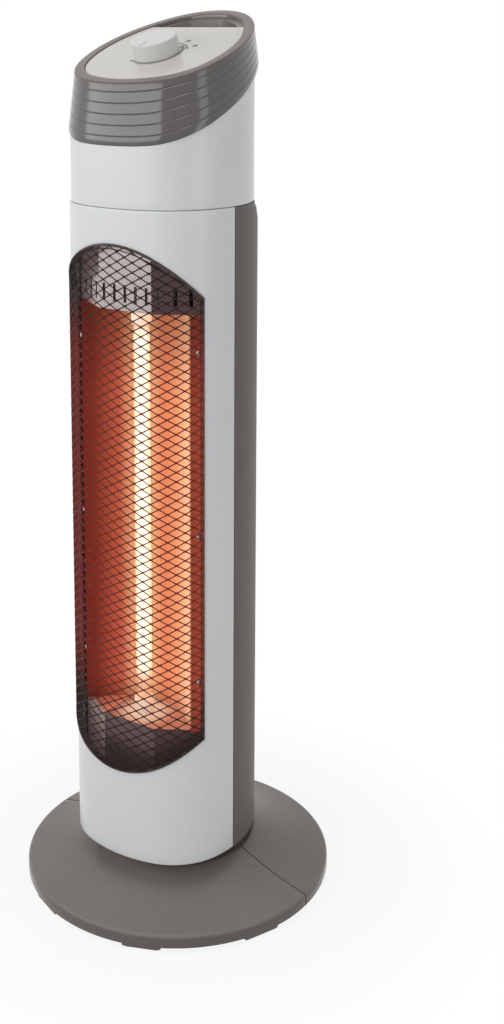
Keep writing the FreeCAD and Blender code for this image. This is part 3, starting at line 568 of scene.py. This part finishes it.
class Value:
    # a shader value that works in sums like a number
    def __init__(self, nodes, socket):
        self.nodes = nodes
        self.socket = socket

    def join(self, operation, first, second):
        return self.nodes.add("ShaderNodeMath", {"operation": operation}, {0: first, 1: second})

    def __add__(self, other):
        return self.join("ADD", self, other)

    def __radd__(self, other):
        return self.join("ADD", other, self)

    def __sub__(self, other):
        return self.join("SUBTRACT", self, other)

    def __rsub__(self, other):
        return self.join("SUBTRACT", other, self)

    def __mul__(self, other):
        return self.join("MULTIPLY", self, other)

    def __rmul__(self, other):
        return self.join("MULTIPLY", other, self)

    def __truediv__(self, other):
        return self.join("DIVIDE", self, other)

    def __rtruediv__(self, other):
        return self.join("DIVIDE", other, self)

    def __pow__(self, other):
        return self.join("POWER", self, other)

    def smooth(self, low, high):
        # 0 below low, 1 above high, with a soft step between
        return self.nodes.add("ShaderNodeMapRange", {"interpolation_type": "SMOOTHSTEP"},
                              {"Value": self, "From Min": low, "From Max": high})

    def other(self, out):
        # another output of the same node
        return Value(self.nodes, self.socket.node.outputs[out])


class Nodes:
    # the nodes of one tree: each is made from its type, its settings and the values or links of its sockets
    def __init__(self, tree):
        self.tree = tree

    def add(self, kind, settings=None, sockets=None, out=0):
        node = self.tree.nodes.new(kind)
        for key, value in (settings or {}).items():
            if key == "stops":
                ramp = node.color_ramp.elements
                while len(ramp) < len(value):
                    ramp.new(0.5)
                for stop, (position, colour) in zip(ramp, value):
                    stop.position = position
                    stop.color = (*colour, 1)
            else:
                setattr(node, key, value)
        for key, value in (sockets or {}).items():
            self.plug(node.inputs[key], value)
        return Value(self, node.outputs[out])

    def plug(self, socket, value):
        if isinstance(value, Value):
            self.tree.links.new(value.socket, socket)
        elif socket.type == "RGBA":
            socket.default_value = (*value, 1)
        else:
            socket.default_value = value

    def seen(self):
        # 1 for what the camera sees, straight or in gloss and glass
        path = self.add("ShaderNodeLightPath", out="Is Camera Ray")
        return path + path.other("Is Glossy Ray") + path.other("Is Transmission Ray")


class Finish(Nodes):
    # one material: constants go on the shader's own sockets, what varies comes from nodes
    def __init__(self, name, **constants):
        self.material = bpy.data.materials.new(name)
        self.material.use_nodes = True
        super().__init__(self.material.node_tree)
        self.shader = self.tree.nodes["Principled BSDF"]
        for socket, value in constants.items():
            self.plug(self.shader.inputs[socket.replace("_", " ")], value)
        self.place = self.add("ShaderNodeTexCoord", out="Object")

    def feed(self, name, value):
        self.plug(self.shader.inputs[name], value)

    def stretched(self, scale):
        return self.add("ShaderNodeMapping", None, {"Vector": self.place, "Scale": scale})

    def noise(self, scale, detail=3.0, vector=None):
        return self.add("ShaderNodeTexNoise", None, {"Vector": vector or self.place, "Scale": scale, "Detail": detail})

    def mix(self, factor, first, second):
        return self.add("ShaderNodeMix", {"data_type": "RGBA"}, {0: factor, 6: first, 7: second}, 2)

    def bump(self, height, strength, distance):
        self.feed("Normal", self.add("ShaderNodeBump", None, {"Height": height, "Strength": strength,
                                                              "Distance": distance}))

    def axes(self):
        x = self.add("ShaderNodeSeparateXYZ", None, {0: self.place})
        return x, x.other(1), x.other(2)

    def rolled(self, scale, strength, high):
        # rolling lines of a metal sheet, also raised a little
        lines = self.noise(1.0, 3.0, self.stretched(scale))
        self.bump(lines, strength, high)
        return lines


moulding = dict(cast=9.0, castShare=0.6, fleck=420.0, spread=(0.3, 0.7), flow=(14.0, 14.0, 3.0), flowGloss=0.1,
                fleckGloss=0.05, grainShare=0.7, fineGrain=2.7, grainStrength=0.25, coatGloss=0.12)


def mouldedPlastic(name, dark, light, gloss, grain, grainDeep, coat=0.0, spec=0.5):
    # moulded plastic: a slow cast in the colour, flow marks in the gloss and a fine spark-eroded grain
    m = moulding
    f = Finish(name, Coat_Weight=coat, Coat_Roughness=m["coatGloss"], Specular_IOR_Level=spec)
    fleck = f.noise(m["fleck"], 2.0)
    cast = f.noise(m["cast"], 2.0) * m["castShare"] + fleck * (1 - m["castShare"])
    f.colour = f.mix(cast.smooth(*m["spread"]), dark, light)
    f.feed("Base Color", f.colour)
    flow = f.noise(1.0, 3.0, f.stretched(m["flow"]))
    f.feed("Roughness", gloss + m["flowGloss"] * (flow - 0.5) + m["fleckGloss"] * (fleck - 0.5))
    fine = f.noise(grain * m["fineGrain"], 1.0) * (1 - m["grainShare"])
    f.bump(f.noise(grain, 2.0) * m["grainShare"] + fine, m["grainStrength"], grainDeep)
    return f


whiteFinish = mouldedPlastic("whiteMoulding", (0.68, 0.695, 0.705), (0.715, 0.73, 0.74), gloss=0.32, grain=1400.0,
                             grainDeep=0.00002, coat=0.15)
knobFinish = mouldedPlastic("dialWhite", (0.645, 0.635, 0.612), (0.675, 0.665, 0.642), gloss=0.34, grain=1400.0,
                            grainDeep=0.00002, coat=0.1)
greyFinish = mouldedPlastic("warmGreyMoulding", (0.175, 0.153, 0.139), (0.196, 0.174, 0.159), gloss=0.22,
                            grain=1100.0, grainDeep=0.00001, coat=0.15, spec=0.2)
coverFinish = mouldedPlastic("satinGreyMoulding", (0.135, 0.118, 0.108), (0.15, 0.132, 0.121), gloss=0.5,
                             grain=1100.0, grainDeep=0.00004, spec=0.2)
blackFinish = mouldedPlastic("blackMoulding", (0.02, 0.02, 0.02), (0.03, 0.03, 0.03), gloss=0.5, grain=900.0,
                             grainDeep=0.00004)
nylonFinish = mouldedPlastic("naturalNylon", (0.62, 0.6, 0.53), (0.7, 0.67, 0.6), gloss=0.45, grain=800.0,
                             grainDeep=0.00003)
rubberFinish = mouldedPlastic("softRubber", (0.02, 0.019, 0.019), (0.034, 0.033, 0.032), gloss=0.75, grain=1600.0,
                              grainDeep=0.00006)

collarLook = dict(gloss=0.16, coat=0.5, marks=60.0, markGloss=0.06, rimFrom=(-0.0012, -0.0004),
                  rimColour=(0.09, 0.062, 0.048), rimCoat=-0.2, rimGloss=0.2)


def collarPlastic():
    # the grey plastic, polished on its sides, plainer and warmer on the sloping rim
    c = collarLook
    f = mouldedPlastic("glossGreyMoulding", (0.07, 0.061, 0.058), (0.084, 0.074, 0.071), c["gloss"], grain=900.0,
                       grainDeep=0.000006)
    y, z = f.axes()[1:]
    drop = z - y * collar["topSlope"] - topLine(0.0) * mm
    rim = drop.smooth(*c["rimFrom"])
    f.feed("Base Color", f.mix(rim, f.colour, c["rimColour"]))
    f.feed("Coat Weight", c["coat"] + c["rimCoat"] * rim)
    f.feed("Roughness", c["gloss"] + c["rimGloss"] * rim + c["markGloss"] * (f.noise(c["marks"]) - 0.5))
    return f


# heights of the skirt's painted shade and half widths of the seam's painted shade line, in metres
baseLook = dict(skirt=(0.0105, 0.0135), skirtShadeColour=(0.15, 0.13, 0.118), seam=(0.0003, 0.0006),
                seamShadeColour=(0.03, 0.026, 0.024))


def basePlastic():
    # the grey plastic with painted shade: a shade darker down the skirt and dark in the seam
    b = baseLook
    f = mouldedPlastic("warmGreyBase", (0.212, 0.186, 0.17), (0.235, 0.208, 0.191), gloss=0.24, grain=1100.0,
                       grainDeep=0.00001, coat=0.12, spec=0.12)
    y, z = f.axes()[1:]
    # painted shade: the skirt's side is coloured darker below the rim
    shade = f.mix(z.smooth(*b["skirt"]), b["skirtShadeColour"], f.colour)
    # painted shade: a dark line along the seam between the halves
    f.feed("Base Color", f.mix((y * y).smooth(b["seam"][0] ** 2, b["seam"][1] ** 2), b["seamShadeColour"], shade))
    return f


collarFinish = collarPlastic()
baseFinish = basePlastic()

# printed dial scale, in millimetres from the knob's axis and degrees from the right
dialPrint = dict(wedgeRadius=17.6, wedge=(-138, 60), line=0.7, lineGrow=0.3, growFrom=(-140, -20), swell=2.4,
                 swellFrom=(-20, 55), arcRadius=22.2, arcWide=1.5, arc=(27, 80), soft=0.1, softWedge=0.5, softArc=0.4,
                 dots=((28.2, 68, 2.2), (28.2, 37, 2.2), (18.9, -137, 1.5)), softDot=0.15, softInk=(0.05, 0.95),
                 ink=(0.035, 0.033, 0.032))


def dialPlate():
    # the panel's white plastic with its print: a line that swells into a wedge, a second arc and three dots
    d = dialPrint
    f = mouldedPlastic("dialPlateWhite", (0.562, 0.543, 0.512), (0.602, 0.583, 0.55), gloss=0.3, grain=1400.0,
                       grainDeep=0.00002, coat=0.2)
    x, y = f.axes()[:2]
    q = (y - knobSizes["place"] * mm) / (math.cos(tilt) * mm)
    x = x / mm
    radius = (x * x + q * q) ** 0.5
    angle = f.add("ShaderNodeMath", {"operation": "ARCTAN2"}, {0: q, 1: x}) * math.degrees(1)

    def edge(value, at, soft):
        return value.smooth(at - soft, at + soft)

    def span(value, low, high, soft):
        return edge(value, low, soft) * (1 - edge(value, high, soft))
    thick = d["line"] + d["lineGrow"] * angle.smooth(*d["growFrom"]) + d["swell"] * angle.smooth(*d["swellFrom"])
    near, arcIn, arcOut = d["wedgeRadius"], d["arcRadius"] - d["arcWide"] / 2, d["arcRadius"] + d["arcWide"] / 2
    wedge = edge(radius, near, d["soft"]) * (1 - edge(radius - thick, near, d["soft"]))
    ink = wedge * span(angle, *d["wedge"], d["softWedge"])
    ink = ink + span(radius, arcIn, arcOut, d["soft"]) * span(angle, *d["arc"], d["softArc"])
    for away, turn, size in d["dots"]:
        dx = x - away * math.cos(math.radians(turn))
        dq = q - away * math.sin(math.radians(turn))
        ink = ink + (1 - edge(dx * dx + dq * dq, size * size, size * size * d["softDot"]))
    f.feed("Base Color", f.mix(ink.smooth(*d["softInk"]), f.colour, d["ink"]))
    return f


dialFinish = dialPlate()

# lit length of the tube, its place and the plates at its ends, in metres
heat = dict(tubeY=-0.04319, low=0.176, high=0.45, plateLow=0.1473, plateHigh=0.4638)


def litLength(z, below, above):
    # 1 along the tube's lit length, fading out below and above it
    low, high = heat["low"], heat["high"]
    return z.smooth(low - below, low + above) * (1 - z.smooth(high - above, high + below))


def underPlate(z, soft):
    # 0 behind the upper shield's plate
    return 1 - z.smooth(heat["plateHigh"], heat["plateHigh"] + soft)


wire = dict(chips=160.0, spread=(0.35, 0.7), gloss=0.5, glossMarks=260.0, glossRange=0.25, grain=900.0,
            grainStrength=0.3, grainDeep=0.00005, across=(-0.045, 0.0), fade=0.03)


def darkWire(name, dark, light, glowLeft, glowRight):
    # dark enamelled steel with small chips of gloss, with a painted red glow of the tube's light along the lit length
    w = wire
    f = Finish(name, Specular_IOR_Level=0.12, Emission_Strength=1.0)
    f.feed("Base Color", f.mix(f.noise(w["chips"], 3.0).smooth(*w["spread"]), dark, light))
    f.feed("Roughness", w["gloss"] + w["glossRange"] * (f.noise(w["glossMarks"], 2.0) - 0.5))
    x, z = f.axes()[::2]
    warmGlow = f.mix(x.smooth(*w["across"]), glowLeft, glowRight)
    # painted glow: the tube's red light on the wire, as emission along the lit length
    f.feed("Emission Color", f.mix(litLength(z, w["fade"], w["fade"]), (0.0, 0.0, 0.0), warmGlow))
    f.bump(f.noise(w["grain"], 2.0), w["grainStrength"], w["grainDeep"])
    return f


wireFinish = darkWire("darkEnamelWire", (0.012, 0.008, 0.007), (0.026, 0.018, 0.015),
                      glowLeft=(0.09, 0.006, 0.003), glowRight=(0.11, 0.009, 0.003))
# the rim and its return take a lighter copy of the dark enamel: partly the enamel, partly a painted highlight along
# the rim
returnFinish = darkWire("warmEnamelReturn", (0.06, 0.047, 0.044), (0.1, 0.082, 0.078),
                        glowLeft=(0.11, 0.008, 0.005), glowRight=(0.09, 0.007, 0.004))

mirrorLines = dict(scale=(1500.0, 1500.0, 9.0), strength=0.08, high=0.00004)
# painted glow of the trough, standing for the tube's light it reflects, from left to right over its width, and its
# fading at the lower and upper plate
trough = dict(half=0.06, fadeLow=(-0.03, 0.025), fadeHigh=0.07, dimHigh=0.5, behind=0.002, faintGlow=(0.004, 0.002, 0.002),
              stain=30.0, stainSpread=(0.3, 0.75), gloss=0.26, lineGloss=0.12, stainGloss=0.1, streaks=(0.85, 0.3),
              glow=[(0.05, (0.12, 0.007, 0.005)), (0.13, (0.19, 0.018, 0.01)), (0.25, (0.5, 0.095, 0.05)),
                    (0.32, (0.82, 0.34, 0.17)), (0.43, (0.92, 0.43, 0.21)), (0.53, (0.84, 0.23, 0.11)),
                    (0.67, (0.9, 0.33, 0.16)), (0.83, (0.92, 0.5, 0.29)), (0.88, (0.42, 0.17, 0.1)),
                    (0.91, (0.22, 0.04, 0.022)), (0.95, (0.34, 0.06, 0.035)), (0.98, (0.1, 0.01, 0.007))])


def troughSheet():
    # rolled mirror sheet, coloured near black as painted shade in place of the bright surroundings it would reflect,
    # with a painted glow of the tube's reflected light: dim on its left flank, brighter near the tube and on its right
    t = trough
    f = Finish("troughMirror", Metallic=1.0, Emission_Strength=1.0)
    lines = f.rolled(**mirrorLines)
    stain = f.noise(t["stain"], 3.0)
    # painted shade: a near-black mirror colour, varied at random by the stain noise
    f.feed("Base Color", f.mix(stain.smooth(*t["stainSpread"]), (0.03, 0.008, 0.005), (0.045, 0.013, 0.009)))
    f.feed("Roughness", t["gloss"] + t["lineGloss"] * (lines - 0.5) + t["stainGloss"] * (stain - 0.5))
    x, z = f.axes()[::2]
    # painted glow: the tube's reflected light, laid on by a ramp across the width
    glow = f.add("ShaderNodeValToRGB", {"stops": t["glow"]}, {0: (x + t["half"]) / (2 * t["half"])})
    fade = z.smooth(*[heat["plateLow"] + away for away in t["fadeLow"]])
    fade = fade * (1 - t["dimHigh"] * z.smooth(heat["high"] - t["fadeHigh"], heat["plateHigh"]))
    fade = fade * underPlate(z, t["behind"]) * (t["streaks"][0] + t["streaks"][1] * lines)
    f.feed("Emission Color", f.mix(fade, t["faintGlow"], glow))
    return f


# shields: the bends lie left and right of the middle, and the plate at each one's edge carries a painted glow of the
# tube's light
shield = dict(bend=(0.0236, 0.0238), lineGloss=0.15, plate=(0.0011, 0.0016), facing=(0.2, 0.8), across=(-0.04, 0.0),
              away=(0.007, 0.026), dim=(0.13, 0.025, 0.013), warmGlow=(0.45, 0.15, 0.09), hotGlow=(0.75, 0.48, 0.34))


def shieldSheet(name, left, middle, right, glowHaze, gloss, edge, faces):
    # bent mirror sheet with painted reflection, its facets coloured lighter on the left and darkest on the right for
    # the surroundings they reflect, and a faint painted glow over it; its plate lies at the height edge and faces up
    # or down and carries a brighter painted glow
    s = shield
    f = Finish(name, Metallic=1.0, Emission_Strength=1.0)
    lines = f.rolled(**mirrorLines)
    x, y, z = f.axes()
    # painted reflection: the left, middle and right facets each get their own lightness
    front = f.mix((0 - x).smooth(*s["bend"]), middle, left)
    f.feed("Base Color", f.mix(x.smooth(*s["bend"]), front, right))
    f.feed("Roughness", gloss + s["lineGloss"] * (lines - 0.5))
    up = f.add("ShaderNodeSeparateXYZ", None, {0: f.add("ShaderNodeNewGeometry", out="Normal")}, 2)
    # painted glow: the plate at the edge, brightest near the tube; elsewhere a faint painted glow
    lit = 1 - ((z - edge) * (z - edge)).smooth(s["plate"][0] ** 2, s["plate"][1] ** 2)
    lit = lit * (up * faces).smooth(*s["facing"])
    away = (x * x + (y - heat["tubeY"]) * (y - heat["tubeY"])) ** 0.5
    glow = f.mix(away.smooth(*s["away"]), s["hotGlow"], f.mix(x.smooth(*s["across"]), s["dim"], s["warmGlow"]))
    f.feed("Emission Color", f.mix(lit, glowHaze, glow))
    return f


troughFinish = troughSheet()
# facet colours are painted reflection, the haze a painted glow
upperFinish = shieldSheet("upperShieldSheet", left=(0.85, 0.72, 0.7), middle=(0.54, 0.49, 0.47),
                          right=(0.09, 0.062, 0.06), glowHaze=(0.012, 0.006, 0.006), gloss=0.3,
                          edge=heat["plateHigh"], faces=-1)
lowerFinish = shieldSheet("lowerShieldSheet", left=(0.9, 0.76, 0.73), middle=(0.15, 0.105, 0.105),
                          right=(0.08, 0.05, 0.05), glowHaze=(0.024, 0.013, 0.013), gloss=0.42,
                          edge=heat["plateLow"], faces=1)

plating = dict(spangle=260.0, spread=(0.1, 0.8), glossRange=0.15,
               lines=dict(scale=(900.0, 900.0, 20.0), strength=0.1, high=0.00004))


def platedSheet(name, dark, light, gloss):
    # zinc plated sheet and bright steel: spangle in the colour and rolling lines in the gloss
    p = plating
    f = Finish(name, Metallic=1.0)
    spangle = f.add("ShaderNodeTexVoronoi", None, {"Vector": f.place, "Scale": p["spangle"]}, "Distance")
    f.feed("Base Color", f.mix(spangle.smooth(*p["spread"]), dark, light))
    f.feed("Roughness", gloss + p["glossRange"] * (f.rolled(**p["lines"]) - 0.5))
    return f


platedFinish = platedSheet("zincPlated", (0.44, 0.45, 0.46), (0.56, 0.57, 0.58), gloss=0.36)
steelFinish = platedSheet("brightScrew", (0.6, 0.6, 0.6), (0.7, 0.7, 0.69), gloss=0.25)

clay = dict(specks=240.0, spread=(0.35, 0.7), gloss=0.6, glossMarks=90.0, glossRange=0.2, grain=1200.0,
            grainStrength=0.3, grainDeep=0.00006, fade=0.045, behind=0.001, glow=(0.74, 0.43, 0.3))


def ceramic():
    # pale fired ceramic, with a painted glow of the tube's light at the end that holds the tube
    c = clay
    f = Finish("ceramicCap", Emission_Strength=1.0)
    f.feed("Base Color", f.mix(f.noise(c["specks"]).smooth(*c["spread"]), (0.62, 0.57, 0.49), (0.74, 0.7, 0.62)))
    f.feed("Roughness", c["gloss"] + c["glossRange"] * (f.noise(c["glossMarks"]) - 0.5))
    z = f.axes()[2]
    # painted glow: emission on the cap along the lit length, hidden behind the upper plate
    lit = litLength(z, c["fade"], 0.0) * underPlate(z, c["behind"])
    f.feed("Emission Color", f.mix(lit, (0.0, 0.0, 0.0), c["glow"]))
    f.bump(f.noise(c["grain"]), c["grainStrength"], c["grainDeep"])
    return f


quartz = dict(fade=(0.008, 0.012), waves=(2.0, 2.0, 60.0), spread=(0.3, 0.7), clear=0.15, fill=0.17)


def hotTube():
    # clear quartz, full of light along the lit length and see-through at its ends
    q = quartz
    f = Finish("litQuartz", Roughness=0.08, Emission_Strength=1.0)
    z = f.axes()[2]
    lit = litLength(z, *q["fade"])
    wave = f.noise(1.0, 2.0, f.stretched(q["waves"]))
    f.feed("Base Color", f.mix(lit, (0.75, 0.62, 0.5), (1.0, 0.85, 0.65)))
    glow = f.mix(wave.smooth(*q["spread"]), (0.88, 0.66, 0.44), (0.96, 0.78, 0.56))
    f.feed("Emission Color", f.mix(lit, (0.4, 0.14, 0.06), glow))
    f.feed("Alpha", q["clear"] + q["fill"] * lit)
    return f


fibre = dict(fade=(0.006, 0.012), twist=300.0, wander=1.5)


def hotFibre():
    # the spun carbon strand, white hot along its lit length and cooler at its leads
    f = Finish("hotCarbon", Emission_Strength=1.15, Roughness=0.7)
    z = f.axes()[2]
    twist = f.add("ShaderNodeTexWave", {"wave_type": "BANDS", "bands_direction": "DIAGONAL"},
                  {"Vector": f.place, "Scale": fibre["twist"], "Distortion": fibre["wander"]}, "Fac")
    f.feed("Base Color", f.mix(twist, (0.05, 0.04, 0.035), (0.12, 0.08, 0.06)))
    hotGlow = f.mix(twist, (1.0, 0.93, 0.8), (1.0, 0.98, 0.92))
    f.feed("Emission Color", f.mix(litLength(z, *fibre["fade"]), (0.7, 0.36, 0.2), hotGlow))
    return f


ceramicFinish = ceramic()
tubeFinish = hotTube()
fibreFinish = hotFibre()
print("stage: finishes made")


for piece, finish in ((frontPanel, whiteFinish), (topHousing, whiteFinish), (knobCap, knobFinish),
                      (controlPlate, dialFinish), (collarRing, collarFinish), (baseFront, baseFinish),
                      (baseRear, baseFinish), (guardRim, returnFinish), (guardReturn, returnFinish),
                      (guardMesh, wireFinish)):
    piece.data.materials.append(finish.material)

slotFinish = dict(white_plastic=whiteFinish, warm_grey_plastic=greyFinish, black_plastic=blackFinish,
                  natural_nylon=nylonFinish, dark_wire=wireFinish, mirror_sheet=upperFinish,
                  plated_sheet=platedFinish, steel_screw=steelFinish, quartz=tubeFinish, carbon=fibreFinish,
                  ceramic_cap=ceramicFinish, soft_rubber=rubberFinish)
nodeFinish = dict(reflector=troughFinish, upper_shield=upperFinish, lower_shield=lowerFinish, rear_cover=coverFinish)
slotOf = {part["node"]: part["material_slot"] for part in frame["record"]["subparts"]}
for node, thing in frame["nodes"].items():
    finish = nodeFinish.get(node) or slotFinish[slotOf[node]]
    for place in thing.material_slots:
        place.material = finish.material
print("stage: finishes assigned")

# lamps: bearing from the front in degrees, place and panel sizes in metres, radiance, and how far below it each aims
lamps = dict(frontBox=dict(bearing=-24, away=1.15, high=0.74, wide=1.9, tall=0.5, bright=2.2, drop=0.05),
             rightStrip=dict(bearing=83, away=1.3, high=0.5, wide=0.34, tall=1.0, bright=1.2, drop=0.05))
overhead = dict(at=(0.0, -0.3, 1.8), aim=(0, 0, 0.4), size=0.6, watts=4.0)


def lightPanel(name, at, target, wide, tall, watts):
    lamp = bpy.data.lights.new(name, "AREA")
    lamp.shape = "RECTANGLE"
    lamp.size = wide
    lamp.size_y = tall
    lamp.energy = watts
    thing = bpy.data.objects.new(name, lamp)
    thing.visible_camera = False
    thing.location = at
    thing.rotation_euler = (Vector(target) - Vector(at)).to_track_quat("-Z", "Y").to_euler()
    scene.collection.objects.link(thing)


for name, p in lamps.items():
    turn = math.radians(p["bearing"])
    at = (p["away"] * math.sin(turn), -p["away"] * math.cos(turn), p["high"])
    lightPanel(name, at, (0, 0, p["high"] - p["drop"]), p["wide"], p["tall"],
               p["bright"] * math.pi * p["wide"] * p["tall"])
lightPanel("overhead", overhead["at"], overhead["aim"], overhead["size"], overhead["size"], overhead["watts"])

backdrop = dict(light=(0.48, 0.48, 0.49), seen=(1, 1, 1))


def backdropWorld():
    # grey for the light that falls on the object, white where the camera, gloss and glass look at it
    world = bpy.data.worlds.new("studio")
    world.use_nodes = True
    n = Nodes(world.node_tree)
    dim = n.add("ShaderNodeBackground", None, {0: backdrop["light"]})
    pale = n.add("ShaderNodeBackground", None, {0: backdrop["seen"]})
    n.plug(n.tree.nodes["World Output"].inputs[0], n.add("ShaderNodeMixShader", None, {0: n.seen(), 1: dim, 2: pale}))
    scene.world = world


# floor: half width in metres, shade, how white it looks beside the base, and where it meets the backdrop
floorSizes = dict(half=6.0, shade=0.85, near=0.88, start=0.015, end=0.075)


def studioFloor():
    # pale floor that keeps the soft shadow and meets the white backdrop for the camera
    s = floorSizes
    mesh = bpy.data.meshes.new("studioFloor")
    corners = np.array([(-1, -1, 0), (1, -1, 0), (1, 1, 0), (-1, 1, 0)]) * s["half"]
    mesh.from_pydata(corners.tolist(), [], [(0, 1, 2, 3)])
    floor = bpy.data.objects.new("studioFloor", mesh)
    scene.collection.objects.link(floor)
    f = Finish("paleFloor", Roughness=0.9, Specular_IOR_Level=0.0, Base_Color=(s["shade"],) * 3)
    x, y = f.axes()[:2]
    pale = f.seen() * (s["near"] + (1 - s["near"]) * (x * x + y * y).smooth(s["start"], s["end"]))
    glow = f.add("ShaderNodeEmission", None, {0: (1, 1, 1)})
    lit = Value(f, f.shader.outputs[0])
    f.plug(f.tree.nodes["Material Output"].inputs[0], f.add("ShaderNodeMixShader", None, {0: pale, 1: lit, 2: glow}))
    mesh.materials.append(f.material)


backdropWorld()
studioFloor()

photoView = dict(lens=50.25, sensor=36.0, shift=(0.0431, -0.2302), at=(0.62358, -0.85829, 0.6666),
                 forward=(-0.560674, 0.809735, -0.173123))
camera = bpy.data.cameras.new("photoCamera")
camera.sensor_width = photoView["sensor"]
camera.lens = photoView["lens"]
camera.shift_x, camera.shift_y = photoView["shift"]
view = bpy.data.objects.new("photoCamera", camera)
view.location = photoView["at"]
view.rotation_euler = Vector(photoView["forward"]).to_track_quat("-Z", "Y").to_euler()
scene.collection.objects.link(view)
scene.camera = view
print("stage: lights and camera set")
